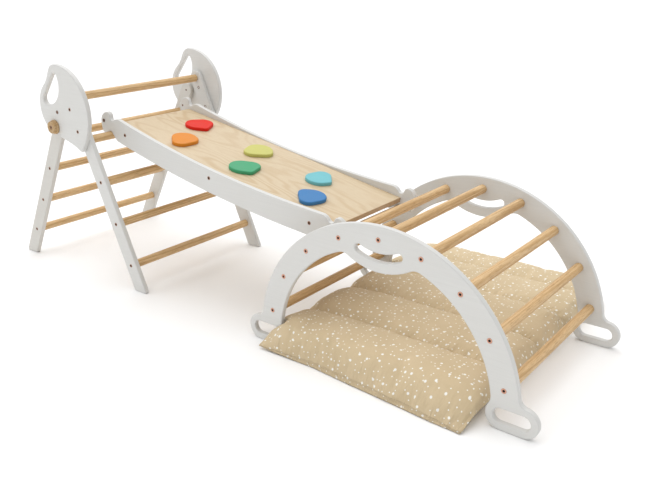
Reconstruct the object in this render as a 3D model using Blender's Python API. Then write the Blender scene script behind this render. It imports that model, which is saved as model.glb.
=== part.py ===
"""Toddler climbing set, in metres with +Z up.

A folding climbing triangle stands at -X and a rung arch at +X. A ramp with stepping stones is hooked
over one rung of each, and a channelled floor cushion lies through the arch. -Y is the near side.

Every flat wooden piece is a slab: an outline in its own plane, pushed through the board's thickness.
An outline is a belt laid round pulleys. A pulley is (x, z, radius). The belt keeps the wood on its
left, so a positive radius is a rounded bulge and a negative one is a rounded hollow.
"""

import math

import bpy
from mathutils import Matrix, Vector
from mathutils.geometry import tessellate_polygon

for old in list(bpy.data.objects):
    bpy.data.objects.remove(old, do_unlink=True)

# Stock, clearances and finish shared by the whole set
FRAME_WIDTH = 0.630
PLY_THICKNESS = 0.018
RUNG_DIAMETER = 0.030
EDGE_ROUNDING = 0.003
FIT_GAP = 0.0003
CURVE_SAG = 0.00015

# Rung arch
ARCH_RUNG_CIRCLE = 0.400
ARCH_CENTRE_HEIGHT = 0.040
ARCH_RING_WIDTH = 0.080
ARCH_RUNG_COUNT = 9
ARCH_RUNG_PITCH = math.radians(19.68)
ARCH_FOOT_RADIUS = 0.043
ARCH_FOOT_SLOT_RADIUS = 0.021
ARCH_FOOT_INSIDE_SET = 0.027
ARCH_FOOT_OUTSIDE_SET = 0.010
ARCH_FOOT_OUTER_FILLET = 0.024
ARCH_FOOT_INNER_FILLET = 0.040
ARCH_HOOK_RUNG = 3
HANDLE_CENTRE_HEIGHT = 0.5484
HANDLE_LOBE_DIP = 0.0556
HANDLE_LOBE_FILLET = 0.036
HANDLE_SLOT_SET = 0.044
HANDLE_SLOT_WIDTH = 0.024
HANDLE_SLOT_HALF_ANGLE = math.radians(24.4)

# Climbing triangle, lengths along a leg start where its centre line meets the floor
LEG_WIDTH = 0.060
LEG_FOOT_ROUNDING = 0.007
FRONT_LEAN = math.radians(66.5)
FRONT_FIRST_RUNG = 0.1047
FRONT_RUNG_PITCH = 0.1614
FRONT_RUNG_COUNT = 5
REAR_LEAN = math.radians(61.1)
REAR_FIRST_RUNG = 0.1279
REAR_RUNG_PITCH = 0.1615
REAR_RUNG_COUNT = 4
PIVOT_ALONG_FRONT_LEG = 0.724
PIVOT_SETBACK = 0.080
HOOK_RUNG_NUMBER = 4

# Side discs, with the pivot as the middle of their outline
DISC_RADIUS = 0.169
DISC_OUTLINE_SHARES = (
    (0.087, 0.026, 1.0),
    (0.076, 0.750, 0.278),
    (-0.740, 1.018, -0.5655),
    (-0.045, 0.0805, 0.596),
    (-0.085, -2.155, -1.578),
    (0.726, -0.729, 0.055),
)
DISC_HANDLE_SHARES = ((0.027, 0.743, 0.1005), (-0.352, 0.251, 0.1197), (-0.320, 0.604, 0.473))

# Hinge bolts and lock knobs
BOLT_DIAMETER = 0.008
BOLT_HEAD_DIAMETER = 0.013
BOLT_HEAD_HEIGHT = 0.0012
KNOB_DIAMETER = 0.052
KNOB_THICKNESS = 0.020
KNOB_ROUNDING = 0.004
KNOB_SETBACK = 0.0235
KNOB_DROP = 0.0568

# Ramp, with the middle of its upper hook as the start of its length
RAMP_REACH = 1.0488
RAMP_WIDTH = 0.408
HOOK_CLEARANCE = 0.0004
RAIL_END_SIZE = 0.040
RAIL_HOOK_TIP_SHARES = (-0.89, 0.324, 0.317)
RAIL_HEEL_SHARES = (1.11, 0.076, 0.383)
RAIL_LOBE_SHARES = (-0.438, 1.098, 0.992)
RAIL_LOBE_CROWN_SHARES = (-0.541, 1.708, 0.376)
RAIL_NOTCH_SHARES = (0.148, 1.763, -0.314)
RAIL_SHOULDER_SHARES = (1.012, 0.962, 0.86)
RAIL_TOP_HEIGHT = 0.0464
RAIL_BOTTOM_DROP = 0.036
LATCH_BOLT_SHARES = (-0.98, 1.16)
BOARD_TOP_HEIGHT = 0.0434
BOARD_THICKNESS = 0.017
BATTEN_WIDTH = 0.020
BATTEN_DEPTH = 0.020
MIDDLE_BATTEN_DEPTH = 0.022
BATTEN_INSET = 0.083

# Stepping stones, in two rows that are placed in shares of half the ramp's width
STONE_LENGTH = 0.112
STONE_THICKNESS = 0.011
STONE_ROUNDING = 0.003
STONE_OUTLINE_SHARES = ((0.254, 0.012, 0.252), (-0.14, 0.32, 0.087), (-0.178, -0.104, 0.289))
STONE_NEAR_ROW_SHARE = -0.4314
STONE_FAR_ROW_SHARE = 0.3235
STONE_FIRST_NEAR = 0.266
STONE_FIRST_FAR = 0.179
STONE_PITCH = 0.305

# Each stone's name, the degrees that it is turned by, and its colour
STONES = (
    ("red", -103.5, (0.82, 0.05, 0.03)),
    ("orange", -75.0, (0.87, 0.33, 0.07)),
    ("lime", -98.5, (0.66, 0.66, 0.19)),
    ("green", -127.0, (0.07, 0.39, 0.17)),
    ("sky", -101.5, (0.24, 0.64, 0.70)),
    ("blue", -76.5, (0.06, 0.16, 0.46)),
)

# Cushion, measured from the arch's middle
CUSHION_FRONT = -0.397
CUSHION_FRONT_SKEW = 0.016
CUSHION_SEAMS = (-0.142, 0.082, 0.286, 0.476)
CUSHION_BACK = 0.652
CUSHION_LEFT = -0.404
CUSHION_RIGHT = 0.320
CUSHION_CREST = 0.098
CUSHION_VALLEY = 0.076
CUSHION_HEM_HEIGHT = 0.012
CUSHION_SEAM_DRAW = 0.010
CUSHION_FLOOR_GAP = 0.0005
CUSHION_PLATE_CLEARANCE = 0.003
CUSHION_BULGE_LENGTH = 0.012
CUSHION_ACROSS = 16
CUSHION_ROWS_PER_CHANNEL = 6

HALF_WIDTH = FRAME_WIDTH / 2
RUNG_RADIUS = RUNG_DIAMETER / 2
INNER_HALF_WIDTH = HALF_WIDTH - PLY_THICKNESS
BOLT_RADIUS = BOLT_DIAMETER / 2


def finish(name, colour, roughness, metallic=0.0):
    """One plain material for a sub-part; colour is linear light."""
    material = bpy.data.materials.new(name)
    material.use_nodes = True
    shader = material.node_tree.nodes["Principled BSDF"]
    shader.inputs["Base Color"].default_value = (*colour, 1.0)
    shader.inputs["Roughness"].default_value = roughness
    shader.inputs["Metallic"].default_value = metallic
    return material


WHITE = (0.68, 0.68, 0.66)
BEECH = (0.66, 0.42, 0.22)
BIRCH = (0.74, 0.58, 0.38)
STEEL = (0.21, 0.11, 0.07)
CLOTH = (0.57, 0.45, 0.30)


def belt(pulleys, inset=0.0):
    """The closed belt round the pulleys, moved into the wood by inset.

    Two neighbours with signed radii r1 and r2, d apart, share the straight run that leans from the
    line of their centres by asin((r1 - r2) / d). Between runs the belt follows each pulley's arc, cut
    into chords that stray from it by CURVE_SAG at most. An inset leaves every lean and count alike.
    """
    count = len(pulleys)
    if count == 1:
        x, z, radius = pulleys[0]
        steps = max(12, math.ceil(math.pi / math.acos(1 - CURVE_SAG / abs(radius))))
        turn = math.copysign(2 * math.pi / steps, radius)
        size = abs(radius - inset)
        return [(x + size * math.cos(k * turn), z + size * math.sin(k * turn)) for k in range(steps)]
    leans = []
    for k, (x1, z1, r1) in enumerate(pulleys):
        x2, z2, r2 = pulleys[(k + 1) % count]
        apart = math.hypot(x2 - x1, z2 - z1)
        if abs(r1 - r2) > apart * 1.0001:
            raise ValueError(f"pulleys {k} and {(k + 1) % count} have no straight run in common")
        share = max(-1.0, min(1.0, (r1 - r2) / apart))
        leans.append(math.atan2(z2 - z1, x2 - x1) + math.asin(share))
    points = []
    for k, (x, z, radius) in enumerate(pulleys):
        side = math.copysign(1.0, radius)
        start = leans[k - 1] - math.pi / 2
        sweep = (side * (leans[k] - leans[k - 1])) % (2 * math.pi)
        if sweep > 2 * math.pi - 0.001:
            sweep = 0.0
        steps = max(1, math.ceil(sweep / (2 * math.acos(1 - CURVE_SAG / abs(radius)))))
        reach = radius - inset
        for step in range(steps + 1):
            angle = start + side * sweep * step / steps
            point = (x + reach * math.cos(angle), z + reach * math.sin(angle))
            if not points or math.dist(points[-1], point) > FIT_GAP / 10:
                points.append(point)
    if math.dist(points[0], points[-1]) < FIT_GAP / 10:
        points.pop()
    return points


def hole(pulleys):
    """The same belt as the edge of a hole, so that the wood is outside it."""
    return [(x, z, -radius) for x, z, radius in reversed(pulleys)]


def make_object(name, points, faces, material, origin=None, smooth_from=None):
    """A mesh object from points and faces; an empty given as origin becomes its parent."""
    start = origin.location if origin else Vector((0, 0, 0))
    mesh = bpy.data.meshes.new(name)
    mesh.from_pydata([Vector(p) - start for p in points], [], faces)
    mesh.materials.append(material)
    if smooth_from is not None:
        for face in mesh.polygons:
            face.use_smooth = face.index >= smooth_from
        mesh.set_sharp_from_angle(angle=math.radians(40))
    made = bpy.data.objects.new(name, mesh)
    made.parent = origin
    bpy.context.scene.collection.objects.link(made)
    return made


def slab(name, outline, holes, profile, frame, material, origin=None):
    """The outline less its holes, pushed along the frame's third axis through the profile.

    profile lists (inset, depth) from the first face to the last, so that rounded edges, steps and
    plain walls all come from the same call. frame turns (across, up, deep) into the set's X, Y, Z.
    """
    loops = [outline] + [hole(h) for h in holes]
    rings = [[belt(loop, inset) for loop in loops] for inset, depth in profile]
    sizes = [len(loop) for loop in rings[0]]
    total = sum(sizes)
    points = []
    for ring, (inset, depth) in zip(rings, profile):
        points += [frame @ Vector((x, z, depth)) for loop in ring for x, z in loop]
    cap_rings = (rings[0], rings[-1])
    caps = []
    for ring in cap_rings:
        flat = [Vector((x, z, 0)) for loop in ring for x, z in loop]
        triangles = tessellate_polygon([[Vector((x, z, 0)) for x, z in loop] for loop in ring])
        level = []
        for a, b, c in triangles:
            area = (flat[b] - flat[a]).cross(flat[c] - flat[a]).z
            if area != 0:
                level.append((a, b, c) if area > 0 else (a, c, b))
        caps.append(level)
    last = total * (len(profile) - 1)
    faces = [(a, c, b) for a, b, c in caps[0]]
    faces += [(a + last, b + last, c + last) for a, b, c in caps[1]]
    walls_from = len(faces)
    for level in range(len(profile) - 1):
        first = level * total
        for size in sizes:
            for k in range(size):
                a = first + k
                b = first + (k + 1) % size
                faces.append((a, b, b + total, a + total))
            first += size
    if frame.to_3x3().determinant() < 0:
        faces = [tuple(reversed(face)) for face in faces]
    return make_object(name, points, faces, material, origin, walls_from)


def rounded(thickness, edge):
    """The profile of a board with both edges taken off."""
    return [(edge, 0), (0, edge), (0, thickness - edge), (edge, thickness)]


def plain(thickness):
    """The profile of a piece with square ends."""
    return [(0, 0), (0, thickness)]


def from_side(side, outer_y):
    """The frame of an upright slab: it starts at outer_y on the side given and goes inwards."""
    return Matrix(((1, 0, 0, 0), (0, 0, -side, side * outer_y), (0, 1, 0, 0), (0, 0, 0, 1)))


def crossing(circle_a, circle_b, side):
    """Where two circles (x, z, radius) cross; side +1 takes the crossing left of the line a to b."""
    ax, az, ar = circle_a
    bx, bz, br = circle_b
    apart = math.dist((ax, az), (bx, bz))
    along = (ar * ar - br * br + apart * apart) / (2 * apart)
    off = side * math.sqrt(ar * ar - along * along)
    ux, uz = (bx - ax) / apart, (bz - az) / apart
    return ax + ux * along - uz * off, az + uz * along + ux * off


def mirrored(pulley, middle=0.0):
    return (2 * middle - pulley[0], pulley[1], pulley[2])


def scaled(shares, size, x=0.0, z=0.0):
    """Pulleys or a place written in shares of a size, about the point x, z."""
    return (x + shares[0] * size, z + shares[1] * size) + tuple(s * size for s in shares[2:])


def rung(name, x, z, half_length, origin=None, diameter=RUNG_DIAMETER):
    length = 2 * (half_length - FIT_GAP)
    frame = from_side(-1, half_length - FIT_GAP)
    return slab(name, [(x, z, diameter / 2)], [], plain(length), frame, finish(name, BEECH, 0.5), origin)


# The arch's rungs stand on a circle. The ramp hooks over the third of them from the triangle's side.
def arch_rung_place(number):
    angle = math.pi / 2 + ((ARCH_RUNG_COUNT + 1) / 2 - number) * ARCH_RUNG_PITCH
    return (
        ARCH_RUNG_CIRCLE * math.cos(angle),
        ARCH_CENTRE_HEIGHT + ARCH_RUNG_CIRCLE * math.sin(angle),
    )


arch_hook = arch_rung_place(ARCH_HOOK_RUNG)

# The triangle stands where the ramp's upper hook finds its rung.
front_up = (-math.cos(FRONT_LEAN), math.sin(FRONT_LEAN))
hook_along = FRONT_FIRST_RUNG + (HOOK_RUNG_NUMBER - 1) * FRONT_RUNG_PITCH
hook_z = hook_along * front_up[1]
ramp_run = math.sqrt(RAMP_REACH**2 - (hook_z - arch_hook[1]) ** 2)
ramp_slope = math.asin((hook_z - arch_hook[1]) / RAMP_REACH)
hook_x = arch_hook[0] - ramp_run
front_foot_x = hook_x - hook_along * front_up[0]


def on_front_leg(along, behind=0.0):
    return (
        front_foot_x + along * front_up[0] - behind * front_up[1],
        along * front_up[1] + behind * front_up[0],
    )


pivot_x, pivot_z = on_front_leg(PIVOT_ALONG_FRONT_LEG, PIVOT_SETBACK)
rear_up = (math.cos(REAR_LEAN), math.sin(REAR_LEAN))
rear_length = pivot_z / rear_up[1]
rear_foot_x = pivot_x - rear_length * rear_up[0]


def add_empty(name, x, z):
    empty = bpy.data.objects.new(name, None)
    empty.location = (x, 0, z)
    bpy.context.scene.collection.objects.link(empty)
    return empty


rear_hinge = add_empty("rear_frame_hinge", pivot_x, pivot_z)
ramp_hinge = add_empty("ramp_hinge", hook_x, hook_z)

# Rung arch: two ring plates with a foot loop at each end and a handle hanging in the crown.
ring_outer = ARCH_RUNG_CIRCLE + ARCH_RING_WIDTH / 2
ring_inner = ARCH_RUNG_CIRCLE - ARCH_RING_WIDTH / 2
outer_foot = (-(ring_outer + ARCH_FOOT_OUTSIDE_SET), ARCH_FOOT_RADIUS, ARCH_FOOT_RADIUS)
inner_foot = (-(ring_inner + ARCH_FOOT_INSIDE_SET), ARCH_FOOT_RADIUS, ARCH_FOOT_RADIUS)
outer_fillet = crossing(
    (0, ARCH_CENTRE_HEIGHT, ring_outer + ARCH_FOOT_OUTER_FILLET),
    (outer_foot[0], outer_foot[1], ARCH_FOOT_RADIUS + ARCH_FOOT_OUTER_FILLET),
    -1,
) + (-ARCH_FOOT_OUTER_FILLET,)
inner_fillet = crossing(
    (0, ARCH_CENTRE_HEIGHT, ring_inner - ARCH_FOOT_INNER_FILLET),
    (inner_foot[0], inner_foot[1], ARCH_FOOT_RADIUS + ARCH_FOOT_INNER_FILLET),
    -1,
) + (-ARCH_FOOT_INNER_FILLET,)
lobe_radius = HANDLE_CENTRE_HEIGHT - (ARCH_CENTRE_HEIGHT + ring_inner - HANDLE_LOBE_DIP)
slot_radius = lobe_radius - HANDLE_SLOT_SET
lobe_fillet = crossing(
    (0, ARCH_CENTRE_HEIGHT, ring_inner - HANDLE_LOBE_FILLET),
    (0, HANDLE_CENTRE_HEIGHT, lobe_radius + HANDLE_LOBE_FILLET),
    1,
) + (-HANDLE_LOBE_FILLET,)
ring_inside = (0, ARCH_CENTRE_HEIGHT, -ring_inner)
left_half = [outer_fillet, outer_foot, inner_foot, inner_fillet, ring_inside, lobe_fillet]
arch_outline = [(0, ARCH_CENTRE_HEIGHT, ring_outer)] + left_half
arch_outline += [(0, HANDLE_CENTRE_HEIGHT, lobe_radius)]
arch_outline += [mirrored(pulley) for pulley in reversed(left_half)]
foot_slot = [(p[0], p[1], ARCH_FOOT_SLOT_RADIUS) for p in (outer_foot, inner_foot)]
slot_half = HANDLE_SLOT_WIDTH / 2
slot_end = (
    slot_radius * math.sin(HANDLE_SLOT_HALF_ANGLE),
    HANDLE_CENTRE_HEIGHT - slot_radius * math.cos(HANDLE_SLOT_HALF_ANGLE),
    slot_half,
)
handle_slot = [
    (0, HANDLE_CENTRE_HEIGHT, slot_radius + slot_half),
    slot_end,
    (0, HANDLE_CENTRE_HEIGHT, slot_half - slot_radius),
    mirrored(slot_end),
]
right_slot = [mirrored(pulley) for pulley in reversed(foot_slot)]
for name, side in (("arch_plate_near", -1), ("arch_plate_far", 1)):
    slab(
        name,
        arch_outline,
        [foot_slot, right_slot, handle_slot],
        rounded(PLY_THICKNESS, EDGE_ROUNDING),
        from_side(side, HALF_WIDTH),
        finish(name, WHITE, 0.4),
    )
for number in range(1, ARCH_RUNG_COUNT + 1):
    x, z = arch_rung_place(number)
    rung(f"arch_rung_{number}", x, z, INNER_HALF_WIDTH)


# Climbing triangle: a leg is cut level at the floor and rounded about its top rung or pivot.
def leg_outline(foot_x, up, length):
    """A leg from the floor to a round end, its centre line leaving the floor at foot_x."""
    inside = LEG_WIDTH / 2 - LEG_FOOT_ROUNDING
    climb = LEG_FOOT_ROUNDING
    corners = []
    for side in (-1, 1):
        along = (climb + side * inside * up[0]) / up[1]
        corners.append((foot_x + along * up[0] + side * inside * up[1], climb, LEG_FOOT_ROUNDING))
    top = (foot_x + length * up[0], length * up[1], LEG_WIDTH / 2)
    return [top] + corners


front_top = FRONT_FIRST_RUNG + (FRONT_RUNG_COUNT - 1) * FRONT_RUNG_PITCH
pivot_hole = [(pivot_x, pivot_z, BOLT_RADIUS + FIT_GAP)]
for word, side in (("near", -1), ("far", 1)):
    name = f"front_leg_{word}"
    slab(
        name,
        leg_outline(front_foot_x, front_up, front_top),
        [],
        rounded(PLY_THICKNESS, EDGE_ROUNDING),
        from_side(side, HALF_WIDTH),
        finish(name, WHITE, 0.4),
    )
    name = f"rear_leg_{word}"
    slab(
        name,
        leg_outline(rear_foot_x, rear_up, rear_length),
        [pivot_hole],
        rounded(PLY_THICKNESS, EDGE_ROUNDING),
        from_side(side, HALF_WIDTH),
        finish(name, WHITE, 0.4),
        rear_hinge,
    )
for number in range(FRONT_RUNG_COUNT):
    x, z = on_front_leg(FRONT_FIRST_RUNG + number * FRONT_RUNG_PITCH)
    rung(f"front_rung_{number + 1}", x, z, INNER_HALF_WIDTH)
for number in range(REAR_RUNG_COUNT):
    along = REAR_FIRST_RUNG + number * REAR_RUNG_PITCH
    x, z = rear_foot_x + along * rear_up[0], along * rear_up[1]
    rung(f"rear_rung_{number + 1}", x, z, INNER_HALF_WIDTH, rear_hinge)

# Side discs carry the pivot bolt of the rear frame and the knob whose stud locks it.
knob_x, knob_z = pivot_x - KNOB_SETBACK, pivot_z - KNOB_DROP
stud_hole = [(knob_x, knob_z, BOLT_RADIUS + FIT_GAP)]
disc_outline = [scaled(shares, DISC_RADIUS, pivot_x, pivot_z) for shares in DISC_OUTLINE_SHARES]
disc_handle = [scaled(shares, DISC_RADIUS, pivot_x, pivot_z) for shares in DISC_HANDLE_SHARES]
disc_face = HALF_WIDTH + FIT_GAP + PLY_THICKNESS
head_step = (BOLT_HEAD_DIAMETER - BOLT_DIAMETER) / 2
knob_step = (KNOB_DIAMETER - BOLT_DIAMETER) / 2
for word, side in (("near", -1), ("far", 1)):
    name = f"side_disc_{word}"
    slab(
        name,
        disc_outline,
        [disc_handle, pivot_hole, stud_hole],
        rounded(PLY_THICKNESS, EDGE_ROUNDING),
        from_side(side, disc_face),
        finish(name, WHITE, 0.4),
    )
    name = f"pivot_bolt_{word}"
    shank_end = FIT_GAP + BOLT_HEAD_HEIGHT + 2 * PLY_THICKNESS
    slab(
        name,
        [(pivot_x, pivot_z, BOLT_HEAD_DIAMETER / 2)],
        [],
        [(0, 0), (0, BOLT_HEAD_HEIGHT), (head_step, BOLT_HEAD_HEIGHT), (head_step, shank_end)],
        from_side(side, disc_face + FIT_GAP + BOLT_HEAD_HEIGHT),
        finish(name, STEEL, 0.35, 1.0),
    )
    name = f"lock_knob_{word}"
    knob_hinge = add_empty(f"lock_knob_{word}_axis", knob_x, knob_z)
    slab(
        name,
        [(knob_x, knob_z, KNOB_DIAMETER / 2)],
        [],
        [
            (KNOB_ROUNDING, 0),
            (0, KNOB_ROUNDING),
            (0, KNOB_THICKNESS - KNOB_ROUNDING),
            (KNOB_ROUNDING, KNOB_THICKNESS),
            (knob_step, KNOB_THICKNESS),
            (knob_step, KNOB_THICKNESS + FIT_GAP + PLY_THICKNESS),
        ],
        from_side(side, disc_face + FIT_GAP + KNOB_THICKNESS),
        finish(name, BEECH, 0.45),
        knob_hinge,
    )

# Ramp: two rails that hook over a rung at each end, with the board and its battens between them.
hook = (0, 0, -(RUNG_RADIUS + HOOK_CLEARANCE))
hook_tip = scaled(RAIL_HOOK_TIP_SHARES, RAIL_END_SIZE)
heel = scaled(RAIL_HEEL_SHARES, RAIL_END_SIZE)
lobe = scaled(RAIL_LOBE_SHARES, RAIL_END_SIZE)
lobe_crown = scaled(RAIL_LOBE_CROWN_SHARES, RAIL_END_SIZE)
notch = scaled(RAIL_NOTCH_SHARES, RAIL_END_SIZE)
shoulder = scaled(RAIL_SHOULDER_SHARES, RAIL_END_SIZE)
ramp_middle = RAMP_REACH / 2


def long_arc(end, middle_z, bulge):
    """The pulley of a long edge that passes middle_z at mid-ramp and runs smoothly into its end."""
    across = ramp_middle - end[0]
    rise = middle_z - end[1]
    radius = (across**2 + rise**2 - end[2] ** 2) / (2 * (-bulge * end[2] - rise))
    return (ramp_middle, middle_z + radius, bulge * radius)


rail_top = long_arc(shoulder, RAIL_TOP_HEIGHT, -1)
rail_bottom = long_arc(heel, -RAIL_BOTTOM_DROP, 1)
lower_end = [hook_tip, hook, heel]
upper_end = [shoulder, notch, lobe_crown, lobe]
rail_outline = lower_end + [rail_bottom]
rail_outline += [mirrored(pulley, ramp_middle) for pulley in reversed(lower_end)]
rail_outline += [mirrored(pulley, ramp_middle) for pulley in reversed(upper_end)]
rail_outline += [rail_top] + upper_end
ramp_turn = Matrix.Translation((hook_x, 0, hook_z)) @ Matrix.Rotation(ramp_slope, 4, "Y")
half_ramp = RAMP_WIDTH / 2
latch_x, latch_z = scaled(LATCH_BOLT_SHARES, RAIL_END_SIZE)
latch_hole = [(latch_x, latch_z, BOLT_RADIUS + FIT_GAP)]
for word, side in (("near", -1), ("far", 1)):
    name = f"ramp_rail_{word}"
    slab(
        name,
        rail_outline,
        [latch_hole],
        rounded(PLY_THICKNESS, EDGE_ROUNDING),
        ramp_turn @ from_side(side, half_ramp),
        finish(name, WHITE, 0.4),
        ramp_hinge,
    )
    name = f"ramp_latch_bolt_{word}"
    slab(
        name,
        [(latch_x, latch_z, BOLT_HEAD_DIAMETER / 2)],
        [],
        [
            (0, 0),
            (0, BOLT_HEAD_HEIGHT),
            (head_step, BOLT_HEAD_HEIGHT),
            (head_step, BOLT_HEAD_HEIGHT + FIT_GAP + PLY_THICKNESS),
        ],
        ramp_turn @ from_side(side, half_ramp + FIT_GAP + BOLT_HEAD_HEIGHT),
        finish(name, STEEL, 0.35, 1.0),
        ramp_hinge,
    )
board_half = half_ramp - PLY_THICKNESS - FIT_GAP


def bar(name, x_from, x_to, z_from, z_to, half_length, material):
    """A square-edged bar across the ramp, in the ramp's own length and height."""
    corners = [(x_from, z_from), (x_to, z_from), (x_to, z_to), (x_from, z_to)]
    ends = []
    for y in (-half_length, half_length):
        ends += [ramp_turn @ Vector((x, y, z)) for x, z in corners]
    faces = [(0, 1, 2, 3), (7, 6, 5, 4), (1, 0, 4, 5), (2, 1, 5, 6), (3, 2, 6, 7), (0, 3, 7, 4)]
    return make_object(name, ends, faces, material, ramp_hinge)


board_bottom = BOARD_TOP_HEIGHT - BOARD_THICKNESS
bar(
    "ramp_board",
    0,
    RAMP_REACH,
    board_bottom,
    BOARD_TOP_HEIGHT,
    board_half,
    finish("ramp_board", BIRCH, 0.5),
)
battens = (
    (BATTEN_INSET, BATTEN_DEPTH),
    (ramp_middle, MIDDLE_BATTEN_DEPTH),
    (RAMP_REACH - BATTEN_INSET, BATTEN_DEPTH),
)
for number, (middle, depth) in enumerate(battens, 1):
    name = f"ramp_batten_{number}"
    top = board_bottom - FIT_GAP
    x_from, x_to = middle - BATTEN_WIDTH / 2, middle + BATTEN_WIDTH / 2
    bar(name, x_from, x_to, top - depth, top, board_half, finish(name, BEECH, 0.55))

# Stepping stones: one pebble shape, turned a different way each time.
stone_outline = [scaled(shares, STONE_LENGTH) for shares in STONE_OUTLINE_SHARES]
for number, (colour_name, turn, colour) in enumerate(STONES):
    near = number % 2 == 1
    first = STONE_FIRST_NEAR if near else STONE_FIRST_FAR
    place = Vector(
        (
            first + (number // 2) * STONE_PITCH,
            half_ramp * (STONE_NEAR_ROW_SHARE if near else STONE_FAR_ROW_SHARE),
            BOARD_TOP_HEIGHT + FIT_GAP,
        )
    )
    frame = ramp_turn @ Matrix.Translation(place) @ Matrix.Rotation(math.radians(turn), 4, "Z")
    name = f"stone_{colour_name}"
    slab(
        name,
        stone_outline,
        [],
        rounded(STONE_THICKNESS, STONE_ROUNDING),
        frame,
        finish(name, colour, 0.45),
        ramp_hinge,
    )

# Cushion: two sheets sewn across into filled channels, drawn in where the arch's feet hold them.
seam_lines = (CUSHION_FRONT,) + CUSHION_SEAMS + (CUSHION_BACK,)
held_left = inner_foot[0] + ARCH_FOOT_RADIUS + FIT_GAP
held_right = min(CUSHION_RIGHT, -held_left)
side_seam = ARCH_FOOT_RADIUS


def smooth_step(value):
    value = max(0.0, min(1.0, value))
    return value * value * (3 - 2 * value)


def cushion_left(y, draw):
    """The left edge: narrow where it passes an arch foot, and bulging out again on both sides of it."""
    to_plate = abs(abs(y) - (HALF_WIDTH - PLY_THICKNESS / 2)) - PLY_THICKNESS / 2
    free = smooth_step((to_plate - CUSHION_PLATE_CLEARANCE) / CUSHION_BULGE_LENGTH)
    return held_left + (CUSHION_LEFT + draw - held_left) * free


bulge_end = CUSHION_PLATE_CLEARANCE + CUSHION_BULGE_LENGTH
held_rows = []
for side in (-1, 1):
    for reach in (INNER_HALF_WIDTH - bulge_end, INNER_HALF_WIDTH - CUSHION_PLATE_CLEARANCE):
        held_rows.append(side * reach)
    for reach in (HALF_WIDTH + CUSHION_PLATE_CLEARANCE, HALF_WIDTH + bulge_end):
        held_rows.append(side * reach)
skew_end = -HALF_WIDTH - bulge_end
rows = []
for channel in range(len(seam_lines) - 1):
    start, end = seam_lines[channel], seam_lines[channel + 1]
    held = [y for y in held_rows if start < y < end]
    inside = []
    for step in range(1, CUSHION_ROWS_PER_CHANNEL):
        share = 0.5 - 0.5 * math.cos(math.pi * step / CUSHION_ROWS_PER_CHANNEL)
        y = start + (end - start) * share
        if all(abs(y - other) > CUSHION_BULGE_LENGTH / 2 for other in held):
            inside.append(y)
    for y in [start] + sorted(inside + held):
        rows.append((y, (y - start) / (end - start), channel))
rows.append((CUSHION_BACK, 1.0, len(seam_lines) - 2))
mid_shares = [
    math.sin(math.pi / 2 * (2 * k / CUSHION_ACROSS - 1)) for k in range(CUSHION_ACROSS + 1)
]
cushion_points, top_rows, bottom_rows = [], [], []
for index, (y, share, channel) in enumerate(rows):
    swell = (4 * share * (1 - share)) ** 0.5
    at_front_edge = channel == 0 and share < 0.5
    at_back_edge = channel == len(seam_lines) - 2 and share > 0.5
    at_edge = at_front_edge or at_back_edge
    low = CUSHION_HEM_HEIGHT if at_edge else CUSHION_VALLEY
    crown = low + (CUSHION_CREST - low) * swell
    base, side = CUSHION_FLOOR_GAP, side_seam
    if at_edge:
        base += (CUSHION_HEM_HEIGHT - CUSHION_FLOOR_GAP) * (1 - swell)
        side = CUSHION_HEM_HEIGHT + (side_seam - CUSHION_HEM_HEIGHT) * swell
    draw = CUSHION_SEAM_DRAW * (1 - swell)
    left = cushion_left(y, draw)
    right = held_right - draw
    skew = CUSHION_FRONT_SKEW * max(0.0, 1 - (y - CUSHION_FRONT) / (skew_end - CUSHION_FRONT))
    is_end = index in (0, len(rows) - 1)
    top, bottom = [], []
    for mid_share in mid_shares:
        fullness = (1 - abs(mid_share) ** 6) ** 0.5
        x = (left + right) / 2 + (right - left) / 2 * mid_share
        deep = y + skew * (1 - mid_share) / 2
        top.append(len(cushion_points))
        cushion_points.append((x, deep, side + (crown - side) * fullness))
        if is_end or abs(mid_share) == 1:
            bottom.append(top[-1])
        else:
            bottom.append(len(cushion_points))
            cushion_points.append((x, deep, side - (side - base) * fullness))
    top_rows.append(top)
    bottom_rows.append(bottom)
cushion_faces = []
for k in range(len(rows) - 1):
    for m in range(CUSHION_ACROSS):
        a, b = top_rows[k][m], top_rows[k][m + 1]
        d, c = top_rows[k + 1][m], top_rows[k + 1][m + 1]
        cushion_faces += [(a, b, c), (a, c, d)]
        a, b = bottom_rows[k][m], bottom_rows[k][m + 1]
        d, c = bottom_rows[k + 1][m], bottom_rows[k + 1][m + 1]
        cushion_faces += [(a, c, b), (a, d, c)]
cushion_faces = [face for face in cushion_faces if len(set(face)) == 3]
cushion_axis = add_empty("cushion_lift_axis", 0, 0)
make_object(
    "cushion",
    cushion_points,
    cushion_faces,
    finish("cushion", CLOTH, 0.9),
    cushion_axis,
    0,
)

# The set is moved so that its box's bottom centre is the origin.
bpy.context.view_layer.update()
solids = [thing for thing in bpy.context.scene.objects if thing.type == "MESH"]
corners = [solid.matrix_world @ Vector(corner) for solid in solids for corner in solid.bound_box]
low = Vector([min(corner[axis] for corner in corners) for axis in range(3)])
high = Vector([max(corner[axis] for corner in corners) for axis in range(3)])
shift = Vector((-(low.x + high.x) / 2, -(low.y + high.y) / 2, -low.z))
for thing in bpy.context.scene.objects:
    if thing.parent is None:
        thing.location += shift
for label, x, z in (
    ("arch middle", 0, 0),
    ("rear hinge", pivot_x, pivot_z),
    ("ramp hinge", hook_x, hook_z),
    ("lock knobs", knob_x, knob_z),
    ("arch hook rung", arch_hook[0], arch_hook[1]),
    ("front foot", front_foot_x, 0),
    ("rear foot", rear_foot_x, 0),
):
    print(f"{label}: {x + shift.x:.6f}, {shift.y:.6f}, {z + shift.z:.6f}")
print(f"ramp slope {math.degrees(ramp_slope):.3f} degrees, box {(high - low)[:]}")
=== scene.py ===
import math

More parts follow.
